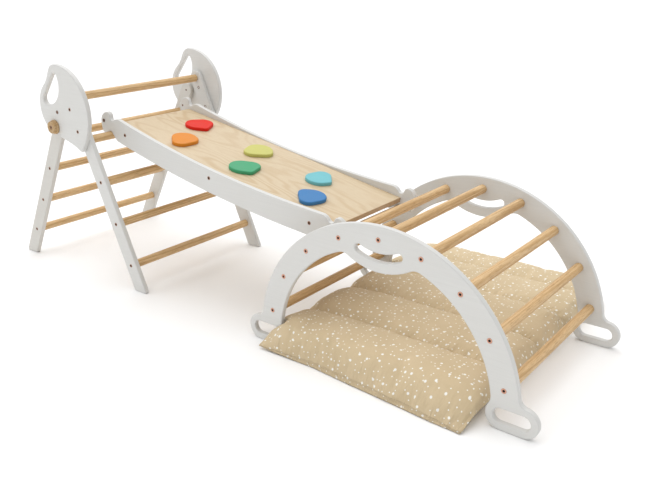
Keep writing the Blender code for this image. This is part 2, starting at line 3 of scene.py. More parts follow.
import bpy
import numpy as np
from mathutils import Matrix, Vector
from mathutils.geometry import tessellate_polygon


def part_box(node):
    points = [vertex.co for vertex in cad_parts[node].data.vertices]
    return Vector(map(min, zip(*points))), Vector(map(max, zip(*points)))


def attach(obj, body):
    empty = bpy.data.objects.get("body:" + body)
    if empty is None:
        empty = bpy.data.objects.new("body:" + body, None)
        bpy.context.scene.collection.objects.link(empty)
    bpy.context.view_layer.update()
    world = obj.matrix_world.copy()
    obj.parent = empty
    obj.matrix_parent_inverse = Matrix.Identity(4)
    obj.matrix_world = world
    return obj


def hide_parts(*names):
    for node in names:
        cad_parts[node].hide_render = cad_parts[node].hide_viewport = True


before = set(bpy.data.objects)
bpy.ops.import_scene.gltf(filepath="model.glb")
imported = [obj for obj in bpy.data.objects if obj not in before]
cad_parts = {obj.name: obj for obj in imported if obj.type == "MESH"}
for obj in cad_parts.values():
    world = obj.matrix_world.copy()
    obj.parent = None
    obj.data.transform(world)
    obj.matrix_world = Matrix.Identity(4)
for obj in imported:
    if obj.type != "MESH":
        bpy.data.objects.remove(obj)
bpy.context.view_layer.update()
scene = bpy.context.scene


# Side plates of the rung arch: rings cut from 18 mm birch plywood, with a loop foot at each end and a
# hand slot hanging in the crown. Every edge is rounded over with a router, the rungs' bolts go in
# shallow counterbores, and the whole is sprayed with white lacquer.
PLY_THICKNESS = 0.018
ROUTER_RADIUS = 0.0034
COUNTERBORE_RADIUS = 0.0064
ARCH_BORE_RADIUS = 0.0076
COUNTERBORE_EASE = 0.0005
EDGE_STEPS = 6
FACE_LEAD = 0.0006
BELT_SAG = 0.00004
SLIVER_AREA = 1e-14
SLAB_SHARP = 50
SIDES = (("near", -1), ("far", 1))


def centre_of(node):
    """The middle of a CAD node's box."""
    low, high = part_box(node)
    return (np.array(low) + np.array(high)) / 2


def seen_at(node):
    """The middle of a CAD node as seen from the side: (x, z)."""
    return centre_of(node)[[0, 2]]


def outer_face(node, side):
    """The Y of a side board's outer face, on the near (-1) or far (1) side."""
    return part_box(node)[side > 0][1]


def belt(pulleys):
    """Rows (x, z, outward x, outward z) along the closed belt laid round the pulleys (x, z, radius).

    The belt keeps the wood on its left: a positive radius is a bulge and a negative one a hollow. Two
    neighbours with radii r1 and r2, d apart, share the straight run that leans from the line of their
    centres by asin((r1 - r2) / d). Each arc is cut so that no chord strays from it by more than the sag.
    """
    here = np.array(pulleys, float)
    if len(here) == 1:
        x, z, radius = here[0]
        steps = max(16, math.ceil(math.pi / math.acos(1 - BELT_SAG / abs(radius))))
        angle = np.sign(radius) * 2 * math.pi * np.arange(steps) / steps
        way = np.column_stack((np.cos(angle), np.sin(angle)))
        return np.hstack(((x, z) + radius * way, way))
    after = np.roll(here, -1, axis=0)
    run = after[:, :2] - here[:, :2]
    apart = np.hypot(run[:, 0], run[:, 1])
    lean = np.arctan2(run[:, 1], run[:, 0])
    lean += np.arcsin(np.clip((here[:, 2] - after[:, 2]) / apart, -1, 1))
    before = np.roll(lean, 1)
    side = np.sign(here[:, 2])
    sweep = (side * (lean - before)) % (2 * math.pi)
    sweep[sweep > 2 * math.pi - 0.001] = 0
    arcs = []
    for (x, z, radius), start, turn in zip(here, before - math.pi / 2, side * sweep):
        steps = max(1, math.ceil(abs(turn) / (2 * math.acos(1 - BELT_SAG / abs(radius)))))
        angle = start + turn * np.linspace(0, 1, steps + 1)
        way = np.column_stack((np.cos(angle), np.sin(angle)))
        arcs.append(np.hstack(((x, z) + radius * way, way)))
    path = np.vstack(arcs)
    gap = path[:, :2] - np.roll(path[:, :2], 1, axis=0)
    return path[np.hypot(gap[:, 0], gap[:, 1]) > 0.00002]


def hole(pulleys):
    """The same belt as the edge of a hole, so that the wood is outside it."""
    return [(x, z, -radius) for x, z, radius in reversed(pulleys)]


def make_piece(name, points, faces, material, sharp_angle=None):
    """A smooth mesh object at the origin from an (n, 3) array of points and a list of face arrays."""
    mesh = bpy.data.meshes.new(name)
    mesh.from_pydata(np.asarray(points).tolist(), [], [face for part in faces for face in part.tolist()])
    mesh.polygons.foreach_set("use_smooth", np.ones(len(mesh.polygons), bool))
    if sharp_angle is not None:
        mesh.set_sharp_from_angle(angle=math.radians(sharp_angle))
    mesh.materials.append(material)
    piece = bpy.data.objects.new(name, mesh)
    scene.collection.objects.link(piece)
    return piece


def wrap_rows(rows, around, first=0):
    """Quads between successive rows of a closed profile: row k, place m at index first + k * around + m."""
    row, place = np.meshgrid(np.arange(rows - 1), np.arange(around), indexing="ij")
    a = first + row * around + place
    b = first + row * around + (place + 1) % around
    return np.stack((a, b, b + around, a + around), axis=-1).reshape(-1, 4)


def edge_profile(first, last, thickness):
    """(inset, depth) rows of a board's edge: a quarter round of radius first at one face and last at the
    other, each led in by a narrow flat strip that keeps the face's shading level."""
    turn = np.linspace(0, math.pi / 2, EDGE_STEPS + 1)
    one = np.column_stack((first * (1 - np.sin(turn)), first * (1 - np.cos(turn))))
    two = np.column_stack((last * (1 - np.cos(turn)), thickness - last * (1 - np.sin(turn))))
    return np.vstack(((first + FACE_LEAD, 0), one, two, (last + FACE_LEAD, thickness)))


def slab(name, loops, thickness, place, material):
    """A board: each loop is (pulleys, first rounding, last rounding), the outline and then its holes.

    The edge profile is carried along each loop's belt: point = belt point - inset * outward, at depth.
    place is the 4 x 4 array that takes (across, up, deep, 1) into the set. The edge attribute is 1 on
    the rounding and 0 on the flats, for the finish to read.
    """
    points, quads, ends, edge, first = [], [], ([], []), [], 0
    for pulleys, one, two in loops:
        path = belt(pulleys)
        profile = edge_profile(one, two, thickness)
        flat = path[None, :, :2] - profile[:, 0, None, None] * path[None, :, 2:]
        deep = np.broadcast_to(profile[:, 1, None, None], flat.shape[:2] + (1,))
        grid = np.concatenate((flat, deep), axis=-1)
        points.append(grid.reshape(-1, 3))
        quads.append(wrap_rows(len(profile), len(path), first))
        ends[0].append((grid[0], first))
        ends[1].append((grid[-1], first + (len(profile) - 1) * len(path)))
        worn = np.ones(len(profile))
        worn[[0, 1, -2, -1]] = 0
        edge.append(np.repeat(worn, len(path)))
        first += grid.shape[0] * grid.shape[1]
    caps = []
    for rings, wanted in zip(ends, (-1, 1)):
        index = np.concatenate([start + np.arange(len(ring)) for ring, start in rings])
        flat = np.concatenate([ring[:, :2] for ring, start in rings])
        outlines = [[(x, z, 0) for x, z in ring[:, :2]] for ring, start in rings]
        corner = np.array(tessellate_polygon(outlines))
        span = flat[corner]
        one, two = span[:, 1] - span[:, 0], span[:, 2] - span[:, 0]
        area = one[:, 0] * two[:, 1] - one[:, 1] * two[:, 0]
        corner, area = corner[np.abs(area) > SLIVER_AREA], area[np.abs(area) > SLIVER_AREA]
        caps.append(index[np.where((np.sign(area) == wanted)[:, None], corner, corner[:, ::-1])])
    solid = np.vstack(points)
    solid = np.hstack((solid, np.ones((len(solid), 1)))) @ place.T
    faces = quads + caps
    if np.linalg.det(place[:3, :3]) < 0:
        faces = [part[:, ::-1] for part in faces]
    piece = make_piece(name, solid[:, :3], faces, material, SLAB_SHARP)
    piece.data.attributes.new("edge", "FLOAT", "POINT").data.foreach_set("value", np.concatenate(edge))
    return piece


def upright(side, outer_y):
    """The place of an upright board that starts at outer_y on the near (-1) or far (1) side, inwards."""
    return np.array(((1, 0, 0, 0), (0, 0, -side, outer_y), (0, 1, 0, 0), (0, 0, 0, 1)), float)


def fillet(a, b, radius, side):
    """The pulley that touches pulleys a and b from outside the wood. Its middle is where their circles,
    each with its radius grown by the fillet's, cross: left (1) or right (-1) of the line a to b."""
    reach_a, reach_b, apart = a[2] + radius, b[2] + radius, math.dist(a[:2], b[:2])
    along = (reach_a**2 - reach_b**2 + apart**2) / (2 * apart)
    off = side * math.sqrt(reach_a**2 - along**2)
    ux, uz = (b[0] - a[0]) / apart, (b[1] - a[1]) / apart
    return a[0] + ux * along - uz * off, a[1] + uz * along + ux * off, -radius


def put(kind, inputs, **settings):
    """A shader node in the tree of the sockets among its inputs. Those are linked, and values are set, as
    are its own settings."""
    sockets = {key: value for key, value in inputs.items() if isinstance(value, bpy.types.NodeSocket)}
    tree = next(iter(sockets.values())).id_data
    made = tree.nodes.new("ShaderNode" + kind)
    for key, value in settings.items():
        setattr(made, key, value)
    for key, value in inputs.items():
        if key in sockets:
            tree.links.new(value, made.inputs[key])
        else:
            made.inputs[key].default_value = value
    return made


def noise(where, scale, detail, roughness=0.5):
    """The strength of a fractal noise."""
    inputs = {"Vector": where, "Scale": scale, "Detail": detail, "Roughness": roughness}
    return put("TexNoise", inputs).outputs[0]


def stretch(value, to_low, to_high, low=0.3, high=0.7):
    """The value with low to high, by default what a noise spans, carried over to to_low to to_high, and
    held there beyond."""
    ends = {"Value": value, "From Min": low, "From Max": high, "To Min": to_low, "To Max": to_high}
    return put("MapRange", ends).outputs[0]


def maths(operation, *values):
    """One step of arithmetic on numbers or sockets."""
    return put("Math", dict(enumerate(values)), operation=operation).outputs[0]


def mix(share, one, two, kind="MIX"):
    """Two colours mixed by share, each a colour or a socket."""
    return put("Mix", {0: share, 6: one, 7: two}, data_type="RGBA", blend_type=kind).outputs[2]


def mapped(where, scale=(1, 1, 1), turn=(0, 0, 0)):
    """A place scaled along its axes, then turned."""
    return put("Mapping", {"Vector": where, "Rotation": turn, "Scale": scale}).outputs[0]


def bump(height, strength, distance, under=None):
    """The normal raised by a height, over another normal where one is given."""
    inputs = {"Height": height, "Strength": strength, "Distance": distance}
    return put("Bump", inputs if under is None else {**inputs, "Normal": under}).outputs[0]


def attribute(spot, name, output="Fac"):
    """What the mesh says under this name, in the tree of spot."""
    made = spot.id_data.nodes.new("ShaderNodeAttribute")
    made.attribute_name = name
    return made.outputs[output]


def new_finish(name):
    """A material with its Principled shader, and the object's own place under the point."""
    material = bpy.data.materials.new(name)
    material.use_nodes = True
    nodes = material.node_tree.nodes
    return material, nodes["Principled BSDF"], nodes.new("ShaderNodeTexCoord").outputs["Object"]


def wire(shader, colour, roughness, normal, specular=0.5):
    """Link what each finish drives, and set how much it mirrors."""
    for key, socket in (("Base Color", colour), ("Roughness", roughness), ("Normal", normal)):
        shader.id_data.links.new(socket, shader.inputs[key])
    shader.inputs["Specular IOR Level"].default_value = specular


LACQUER_PORE = (0.680, 0.677, 0.655, 1)
LACQUER_FULL = (0.712, 0.709, 0.687, 1)
LACQUER_DRIFT = (0.698, 0.686, 0.654, 1)
# The rounded edges are painted darker than the faces: painted shade that tones down the light they catch.
LACQUER_EDGE_SHADE = (0.655, 0.651, 0.632, 1)


def white_lacquer(name, grain_turn=0.0, painted_shade=(1, 1, 1)):
    """Sprayed lacquer over veneer: the veneer's long pores show faintly, with a fine orange peel. The
    last argument multiplies the colour, and below one it is painted shade, darker and warmer."""
    material, shader, spot = new_finish(name)
    pores = noise(mapped(spot, (5, 60, 190), (0, grain_turn, 0)), 1.0, 5.0, 0.62)
    patches = noise(spot, 7.0, 3.0)
    peel = noise(spot, 620.0, 2.0)
    body = mix(stretch(pores, 0.0, 1.0), LACQUER_PORE, LACQUER_FULL)
    body = mix(stretch(patches, 0.0, 0.4), body, LACQUER_DRIFT)
    # Painted shade on the rounded edges, where the edge attribute is 1.
    body = mix(attribute(spot, "edge"), body, LACQUER_EDGE_SHADE)
    # Painted shade: a tone below one darkens and warms the whole coat.
    body = mix(1.0, body, (*painted_shade, 1), "MULTIPLY")
    normal = bump(peel, 0.1, 0.0002, bump(pores, 0.12, 0.0004))
    wire(shader, body, stretch(patches, 0.36, 0.5), normal, 0.4)
    return material


ARCH_RING_OUTER = 0.440
ARCH_RING_INNER = 0.360
ARCH_CENTRE_HEIGHT = 0.040
FOOT_RADIUS = 0.043
FOOT_SLOT_RADIUS = 0.021
FOOT_INNER_REACH = 0.387
FOOT_OUTER_REACH = 0.450
FOOT_OUTER_FILLET = 0.024
FOOT_INNER_FILLET = 0.040
HANDLE_CENTRE_HEIGHT = 0.5484
HANDLE_SLOT_RADIUS = 0.160
HANDLE_SLOT_HALF = 0.012
HANDLE_SLOT_HALF_ANGLE = math.radians(24.4)
HANDLE_LOBE_RADIUS = 0.204
HANDLE_LOBE_FILLET = 0.036
arch_x = centre_of("arch_plate_near")[0]
arch_rungs = [seen_at(f"arch_rung_{number}") for number in range(1, 10)]


def at_arch(pulleys):
    """Pulleys measured from the arch's middle, moved to where the arch stands."""
    return [(x + arch_x, z, radius) for x, z, radius in pulleys]


def mirrored(pulleys, middle=0.0):
    """The run of pulleys that carries on from these on the other side of x = middle."""
    return [(2 * middle - x, z, radius) for x, z, radius in reversed(pulleys)]


foot_outer = (-FOOT_OUTER_REACH, FOOT_RADIUS, FOOT_RADIUS)
foot_inner = (-FOOT_INNER_REACH, FOOT_RADIUS, FOOT_RADIUS)
ring_outer = (0, ARCH_CENTRE_HEIGHT, ARCH_RING_OUTER)
ring_inner = (0, ARCH_CENTRE_HEIGHT, -ARCH_RING_INNER)
handle_lobe = (0, HANDLE_CENTRE_HEIGHT, HANDLE_LOBE_RADIUS)
left_half = [fillet(ring_outer, foot_outer, FOOT_OUTER_FILLET, -1), foot_outer, foot_inner,
             fillet(ring_inner, foot_inner, FOOT_INNER_FILLET, -1), ring_inner,
             fillet(ring_inner, handle_lobe, HANDLE_LOBE_FILLET, 1)]
arch_outline = [ring_outer] + left_half + [handle_lobe] + mirrored(left_half)
foot_slot = [foot_outer[:2] + (FOOT_SLOT_RADIUS,), foot_inner[:2] + (FOOT_SLOT_RADIUS,)]
slot_end = (HANDLE_SLOT_RADIUS * math.sin(HANDLE_SLOT_HALF_ANGLE),
            HANDLE_CENTRE_HEIGHT - HANDLE_SLOT_RADIUS * math.cos(HANDLE_SLOT_HALF_ANGLE), HANDLE_SLOT_HALF)
handle_slot = [(0, HANDLE_CENTRE_HEIGHT, HANDLE_SLOT_RADIUS + HANDLE_SLOT_HALF), slot_end,
               (0, HANDLE_CENTRE_HEIGHT, HANDLE_SLOT_HALF - HANDLE_SLOT_RADIUS)] + mirrored([slot_end])
arch_holes = [foot_slot, mirrored(foot_slot), handle_slot]


def rounded_loop(pulleys, radius=ROUTER_RADIUS):
    """A loop with the same rounding at both faces."""
    return (pulleys, radius, radius)


def bores(places, radius=COUNTERBORE_RADIUS):
    """A loop for each bolt's counterbore, its edge eased by sanding."""
    return [rounded_loop(hole([(x, z, radius)]), COUNTERBORE_EASE) for x, z in places]


arch_white = white_lacquer("arch_lacquer")
for word, side in SIDES:
    node = f"arch_plate_{word}"
    loops = [rounded_loop(at_arch(arch_outline))]
    loops += [rounded_loop(hole(at_arch(slot))) for slot in arch_holes]
    loops += bores(arch_rungs, ARCH_BORE_RADIUS)
    place = upright(side, outer_face(node, side))
    plate = slab(f"arch_side_{word}", loops, PLY_THICKNESS, place, arch_white)
    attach(plate, "main_frame")
    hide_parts(node)


# Rungs: turned beech dowels, 30 mm thick, sanded and oiled, butted between the side plates. The long
# grain runs from plate to plate, and no two are cut from the same place in the plank.
RUNG_RADIUS = 0.015
RUNG_END_EASE = 0.0012
RUNG_ROWS = 11
RUNG_SIDES = 40
TURNED_SHARP = 50
RUNG_PALE = (0.725, 0.508, 0.275, 1)
RUNG_LATE = (0.480, 0.284, 0.112, 1)
RUNG_WARM = (0.645, 0.418, 0.192, 1)
RUNG_PORE = (0.340, 0.185, 0.075, 1)


def closed_rows(rows, around):
    """The faces of a closed profile's rows, with a fan over each end to the two points that follow them."""
    place = np.arange(around)
    after = (place + 1) % around
    last, tip = (rows - 1) * around, rows * around
    return [wrap_rows(rows, around),
            np.stack((after, place, np.full(around, tip)), axis=-1),
            np.stack((last + place, last + after, np.full(around, tip + 1)), axis=-1)]


def turned(name, profile, start, way, material, around):
    """A turned piece: the profile (radius, along) is carried round the line from start along Y, or along
    -Y where way is -1. Its first and last radii are zero, so that the ends close in a fan."""
    profile = np.asarray(profile, float)
    angle = 2 * math.pi * np.arange(around) / around
    ring = profile[1:-1]
    across, up = ring[:, 0, None] * np.cos(angle), ring[:, 0, None] * np.sin(angle)
    along = np.broadcast_to(ring[:, 1, None], across.shape)
    spin = np.stack((across, along, up), axis=-1).reshape(-1, 3)
    local = np.vstack((spin, (0, profile[0, 1], 0), (0, profile[-1, 1], 0))) * (1, way, 1)
    faces = closed_rows(len(ring), around)
    if way < 0:
        faces = [part[:, ::-1] for part in faces]
    return make_piece(name, local + start, faces, material, TURNED_SHARP)


def beech(name, depth=1.0):
    """Oiled wood with its grain along Y: long rings drawn out by the lathe, warmer patches and fine dark
    pores. A depth below one is wood that has taken more oil and is that much darker."""
    material, shader, spot = new_finish(name)
    long = mapped(spot, (1, 0.055, 1))
    waver = put("TexNoise", {"Vector": long, "Scale": 11.0, "Detail": 3.0}).outputs["Color"]
    bend = put("VectorMath", {0: waver, 1: (0.09, 0.09, 0.09)}, operation="MULTIPLY")
    bent = put("VectorMath", {0: long, 1: bend.outputs[0]}, operation="ADD").outputs[0]
    rings = put("TexWave", {"Vector": bent, "Scale": 34.0, "Distortion": 2.0, "Detail": 2.0,
                            "Detail Scale": 1.5}, wave_type="RINGS", rings_direction="Y")
    pores = noise(long, 520.0, 4.0, 0.7)
    broad = noise(long, 60.0, 2.0)
    late = stretch(rings.outputs["Fac"], 0.0, 0.75, 0.35, 1.0)
    colour = mix(late, RUNG_PALE, RUNG_LATE)
    colour = mix(stretch(broad, 0.0, 0.5, 0.35, 0.65), colour, RUNG_WARM)
    colour = mix(stretch(pores, 0.0, 0.75, 0.48, 0.72), colour, RUNG_PORE)
    colour = mix(1.0, colour, (depth, depth, depth, 1), "MULTIPLY")
    wire(shader, colour, stretch(pores, 0.42, 0.6), bump(pores, 0.25, 0.0004), 0.35)
    return material


rung_beech = beech("rung_beech")
rung_nodes = [(f"arch_rung_{n}", "main_frame") for n in range(1, 10)]
rung_nodes += [(f"front_rung_{n}", "main_frame") for n in range(1, 6)]
rung_nodes += [(f"rear_rung_{n}", "rear_frame") for n in range(1, 5)]
ease = np.linspace(0, math.pi / 2, 4)
shrink = RUNG_END_EASE * (1 - np.sin(ease))
end = np.column_stack((RUNG_RADIUS - shrink, RUNG_END_EASE * (1 - np.cos(ease))))
for node, body in rung_nodes:
    low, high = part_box(node)
    length = high[1] - low[1]
    middle = np.linspace(0, length, RUNG_ROWS)[1:-1]
    middle = np.column_stack((np.full(len(middle), RUNG_RADIUS), middle))
    profile = np.vstack(((0, 0), end, middle, (0, length) + end[::-1] * (1, -1), (0, length)))
    start = centre_of(node) * (1, 0, 1) + (0, low[1], 0)
    dowel = turned(f"{node}_dowel", profile, start, 1, rung_beech, RUNG_SIDES)
    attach(dowel, body)
    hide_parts(node)


# Bolts: flat-headed furniture bolts with a hexagon socket, browned steel. They draw each rung and batten
# against its side plate, and stand a hair proud of the counterbore.
BOLT_HEAD_RADIUS = 0.0061
ARCH_HEAD_RADIUS = 0.0073
BOLT_HEAD_PROUD = 0.0007
BOLT_HEAD_DEPTH = 0.0040
BOLT_SOCKET_ACROSS = 0.0068
BOLT_SOCKET_DEPTH = 0.0030
BOLT_DRILL_POINT = 0.0008
BOLT_SIDES = 36
BOLT_SHARP = 35
# Painted shade for the inside of the hexagon socket.
BOLT_SOCKET_SHADE = (0.035, 0.018, 0.012, 1)


def bolt_heads(name, places, side, outer_y, material, rim=BOLT_HEAD_RADIUS):
    """Bolt heads at each (x, z) of one face: a profile from the back of the head round its rim, over the
    crowned face and down the socket, where the circle gives way to a hexagon. The socket attribute is 1
    inside the socket."""
    around = BOLT_SIDES
    angle = 2 * math.pi * np.arange(around) / around
    sixth = (angle + math.pi / 6) % (math.pi / 3) - math.pi / 6
    hexagon = BOLT_SOCKET_ACROSS / 2 / np.cos(sixth)
    proud = BOLT_HEAD_PROUD
    rows = [(rim - 0.0004, BOLT_HEAD_DEPTH, 0), (rim, BOLT_HEAD_DEPTH - 0.0004, 0), (rim, -0.0001, 0),
            (rim - 0.0003, -proud * 0.75, 0), (rim - 0.0009, -proud, 0), (0.0044, -proud, 0),
            (0.0003, 0.0002 - proud, 1), (0.0, 0.0005 - proud, 1), (0.0, BOLT_SOCKET_DEPTH, 1)]
    grids = []
    for radius, deep, in_socket in rows:
        reach = hexagon + radius if in_socket else np.full(around, radius)
        grids.append(np.column_stack((reach * np.cos(angle), reach * np.sin(angle), np.full(around, deep))))
    ends = ((0, 0, BOLT_HEAD_DEPTH), (0, 0, BOLT_SOCKET_DEPTH + BOLT_DRILL_POINT))
    grids = np.vstack(grids + [ends])
    faces = closed_rows(len(rows), around)
    spots = np.array([(x, outer_y, z) for x, z in places])
    world = np.stack((grids[:, 0], -side * grids[:, 2], grids[:, 1]), axis=-1)
    points = (spots[:, None, :] + world[None]).reshape(-1, 3)
    repeat = (np.arange(len(places)) * len(grids))[:, None, None]
    faces = [(part[None] + repeat).reshape(-1, part.shape[1]) for part in faces]
    if side < 0:
        faces = [part[:, ::-1] for part in faces]
    piece = make_piece(name, points, faces, material, BOLT_SHARP)
    inside = np.zeros(len(grids))
    inside[-2 * around - 2:-2] = inside[-1] = 1
    inside = np.tile(inside, len(places))
    piece.data.attributes.new("socket", "FLOAT", "POINT").data.foreach_set("value", inside)
    return piece


def browned_steel(name, dull, bright):
    """Antique-browned steel: painted shade in the socket, and a mottled head from its dull colour to its
    bright.
    """
    material, shader, spot = new_finish(name)
    stain = noise(spot, 420.0, 4.0)
    socket = attribute(spot, "socket")
    colour = mix(stain, (*dull, 1), (*bright, 1))
    # The socket is painted near black: painted shade in the recess.
    colour = mix(socket, colour, BOLT_SOCKET_SHADE)
    shader.id_data.links.new(stretch(socket, 0.7, 0.2, 0.0, 1.0), shader.inputs["Metallic"])
    wire(shader, colour, stretch(stain, 0.3, 0.5), bump(stain, 0.15, 0.0002))
    return material


brown = browned_steel("bolt_brown", (0.34, 0.18, 0.12), (0.50, 0.30, 0.21))
copper = browned_steel("bolt_copper", (0.56, 0.26, 0.17), (0.78, 0.46, 0.34))
dark = browned_steel("bolt_dark", (0.15, 0.085, 0.060), (0.24, 0.14, 0.10))
for word, side in SIDES:
    outer_y = outer_face(f"arch_plate_{word}", side)
    heads = bolt_heads(f"arch_bolts_{word}", arch_rungs, side, outer_y, copper, ARCH_HEAD_RADIUS)
    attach(heads, "main_frame")


# Climbing triangle: two straight legs on each side, rounded about the top rung or the pivot and cut level
# at the floor, from the same lacquered plywood. The front pair carries five rungs and the rear pair four.
LEG_HALF_WIDTH = 0.030
LEG_FOOT_ROUNDING = 0.007
LEG_BOLTS_BELOW = 0.52
PIVOT_BORE_RADIUS = 0.0043
front_rungs = [seen_at(f"front_rung_{number}") for number in range(1, 6)]
rear_rungs = [seen_at(f"rear_rung_{number}") for number in range(1, 5)]
pivot = seen_at("pivot_bolt_near")


def leg_outline(low_place, top_place):
    """A leg whose centre line runs through both places, from the floor to a round end at the upper one."""
    run = top_place - low_place
    up = run / np.hypot(*run)
    inside = LEG_HALF_WIDTH - LEG_FOOT_ROUNDING
    foot_x = low_place[0] - low_place[1] * up[0] / up[1]
    corners = []
    for side in (-1, 1):
        along = (LEG_FOOT_ROUNDING + side * inside * up[0]) / up[1]
        x = foot_x + along * up[0] + side * inside * up[1]
        corners.append((x, LEG_FOOT_ROUNDING, LEG_FOOT_ROUNDING))
    return [(*top_place, LEG_HALF_WIDTH)] + corners


leg_white = white_lacquer("leg_lacquer", math.radians(66))
# The rear legs' coat is painted darker and warmer: painted shade.
rear_shaded_white = white_lacquer("rear_leg_lacquer", math.radians(-76), (0.93, 0.91, 0.88))
for word, side in SIDES:
    for node, body, rungs, top, white in (
            (f"front_leg_{word}", "main_frame", front_rungs, front_rungs[-1], leg_white),
            (f"rear_leg_{word}", "rear_frame", rear_rungs, pivot, rear_shaded_white)):
        outer_y = outer_face(node, side)
        shown = [place for place in rungs if place[1] < LEG_BOLTS_BELOW]
        loops = [rounded_loop(leg_outline(rungs[0], top))] + bores(shown)
        if body == "rear_frame":
            loops += bores([pivot], PIVOT_BORE_RADIUS)
        leg = slab(f"{node}_board", loops, PLY_THICKNESS, upright(side, outer_y), white)
        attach(leg, body)
        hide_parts(node)
        heads = bolt_heads(f"{node}_bolts", shown, side, outer_y, brown)
        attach(heads, body)


# Side discs: rounded plywood cheeks screwed to the front legs. Each carries the rear frame's pivot bolt
# and the wooden knob that locks it, and has a hand hole like a bird's eye.
DISC_RADIUS = 0.169
DISC_OUTLINE_SHARES = ((0.087, 0.026, 1.0), (0.076, 0.750, 0.278), (-0.740, 1.018, -0.5655),
                       (-0.045, 0.0805, 0.596), (-0.085, -2.155, -1.578), (0.726, -0.729, 0.055))
DISC_HANDLE_SHARES = ((0.027, 0.743, 0.1005), (-0.352, 0.251, 0.1197), (-0.320, 0.604, 0.473))
DISC_FIXING_HEIGHTS = (0.573, 0.650)
knob = seen_at("lock_knob_near")


def in_shares(shares, size, x, z):
    """Pulleys written in shares of a size, about the point x, z."""
    return [(x + one * size, z + two * size, radius * size) for one, two, radius in shares]


disc_white = white_lacquer("disc_lacquer")
lean = front_rungs[-1] - front_rungs[0]
fixings = [(front_rungs[0][0] + (height - front_rungs[0][1]) * lean[0] / lean[1], height)
           for height in DISC_FIXING_HEIGHTS]
for word, side in SIDES:
    node = f"side_disc_{word}"
    outer_y = outer_face(node, side)
    loops = [rounded_loop(in_shares(DISC_OUTLINE_SHARES, DISC_RADIUS, *pivot)),
             rounded_loop(hole(in_shares(DISC_HANDLE_SHARES, DISC_RADIUS, *pivot)))]
    loops += bores([pivot, knob], PIVOT_BORE_RADIUS) + bores(fixings)
    disc = slab(f"side_cheek_{word}", loops, PLY_THICKNESS, upright(side, outer_y), disc_white)
    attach(disc, "main_frame")
    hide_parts(node)
    inner_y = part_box(f"front_leg_{word}")[side < 0][1]
    for kind, face, face_y, steel in (("bolts", side, outer_y, brown), ("nuts", -side, inner_y, dark)):
        heads = bolt_heads(f"disc_{kind}_{word}", fixings, face, face_y, steel)
        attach(heads, "main_frame")
    for slot_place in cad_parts[f"pivot_bolt_{word}"].material_slots:
        slot_place.material = dark


# Lock knobs: a beech grip in two turned steps on a steel stud, with a screw sunk in its face. Turned by
# hand, it clamps the rear frame.
KNOB_RADIUS = 0.026
KNOB_FACE_RADIUS = 0.0225
KNOB_THICKNESS = 0.020
KNOB_STEP_DEPTH = 0.010
KNOB_RECESS_RADIUS = 0.0075
KNOB_RECESS_DEPTH = 0.0062
KNOB_SCREW_SINK = 0.0016
KNOB_EASE = 0.0022
KNOB_STUD_RADIUS = 0.004
KNOB_RECESS_EASE = 0.0006
KNOB_BACK_EASE = 0.001
KNOB_SIDES = 48
knob_beech = beech("knob_beech", 0.78)
quarter = np.linspace(0, math.pi / 2, 5)
ease_out = np.column_stack((KNOB_EASE * np.sin(quarter), KNOB_EASE * (1 - np.cos(quarter))))
face_edge = ease_out + (KNOB_FACE_RADIUS - KNOB_EASE, 0)
step_edge = ease_out + (KNOB_RADIUS - KNOB_EASE, KNOB_STEP_DEPTH)
for word, side in SIDES:
    node = f"lock_knob_{word}"
    low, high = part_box(node)
    outer_y = outer_face(node, side)
    profile = np.vstack((
        (0, KNOB_RECESS_DEPTH), (KNOB_RECESS_RADIUS, KNOB_RECESS_DEPTH),
        (KNOB_RECESS_RADIUS, KNOB_RECESS_EASE), (KNOB_RECESS_RADIUS + KNOB_RECESS_EASE, 0),
        face_edge, (KNOB_FACE_RADIUS, KNOB_STEP_DEPTH), step_edge,
        (KNOB_RADIUS, KNOB_THICKNESS - KNOB_BACK_EASE), (KNOB_RADIUS - KNOB_BACK_EASE, KNOB_THICKNESS),
        (KNOB_STUD_RADIUS, KNOB_THICKNESS), (KNOB_STUD_RADIUS, high[1] - low[1]), (0, high[1] - low[1])))
    grip = turned(f"{node}_grip", profile, (knob[0], outer_y, knob[1]), -side, knob_beech, KNOB_SIDES)
    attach(grip, node)
    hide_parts(node)
    sunk = bolt_heads(f"{node}_screw", [knob], side, outer_y - side * KNOB_SCREW_SINK, brown)
    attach(sunk, node)


# Ramp: two lacquered rails shaped to hook over a rung at each end, with a plywood board and three
# battens between them. Bolts through the rails hold the board, and a latch bolt closes each upper hook.
RAIL_END_SIZE = 0.040
RAMP_REACH = 1.0488
HOOK_RADIUS = 0.0154
RAIL_END_SHARES = ((-0.89, 0.324, 0.317), (1.11, 0.076, 0.383), (-0.438, 1.098, 0.992),
                   (-0.541, 1.708, 0.376), (0.148, 1.763, -0.314), (1.012, 0.962, 0.86))
RAIL_TOP_HEIGHT = 0.0464
RAIL_BOTTOM_DROP = 0.036
upper_hook, lower_hook = front_rungs[3], arch_rungs[2]
mid_y = centre_of("ramp_board")[1]
ramp_slope = math.atan2(upper_hook[1] - lower_hook[1], lower_hook[0] - upper_hook[0])
ramp_middle = RAMP_REACH / 2
down = np.array((math.cos(ramp_slope), 0, -math.sin(ramp_slope)))
above = np.array((math.sin(ramp_slope), 0, math.cos(ramp_slope)))
ramp_start = np.array((upper_hook[0], mid_y, upper_hook[1]))


def on_ramp(side=None, outer=0.0):
    """The place of a board on the ramp: along, above and inwards from one side, or flat if no side."""
    place = np.eye(4)
    up, deep, y = ((0, 1, 0), above, mid_y) if side is None else (above, (0, -side, 0), outer)
    place[:3] = np.column_stack((down, up, deep, (ramp_start[0], y, ramp_start[2])))
    return place


def long_arc(end, middle_z, bulge):
    """The pulley of a long edge that passes middle_z at mid-ramp and runs smoothly into its end."""
    across, rise = ramp_middle - end[0], middle_z - end[1]
    radius = (across**2 + rise**2 - end[2] ** 2) / (2 * (-bulge * end[2] - rise))
    return (ramp_middle, middle_z + radius, bulge * radius)


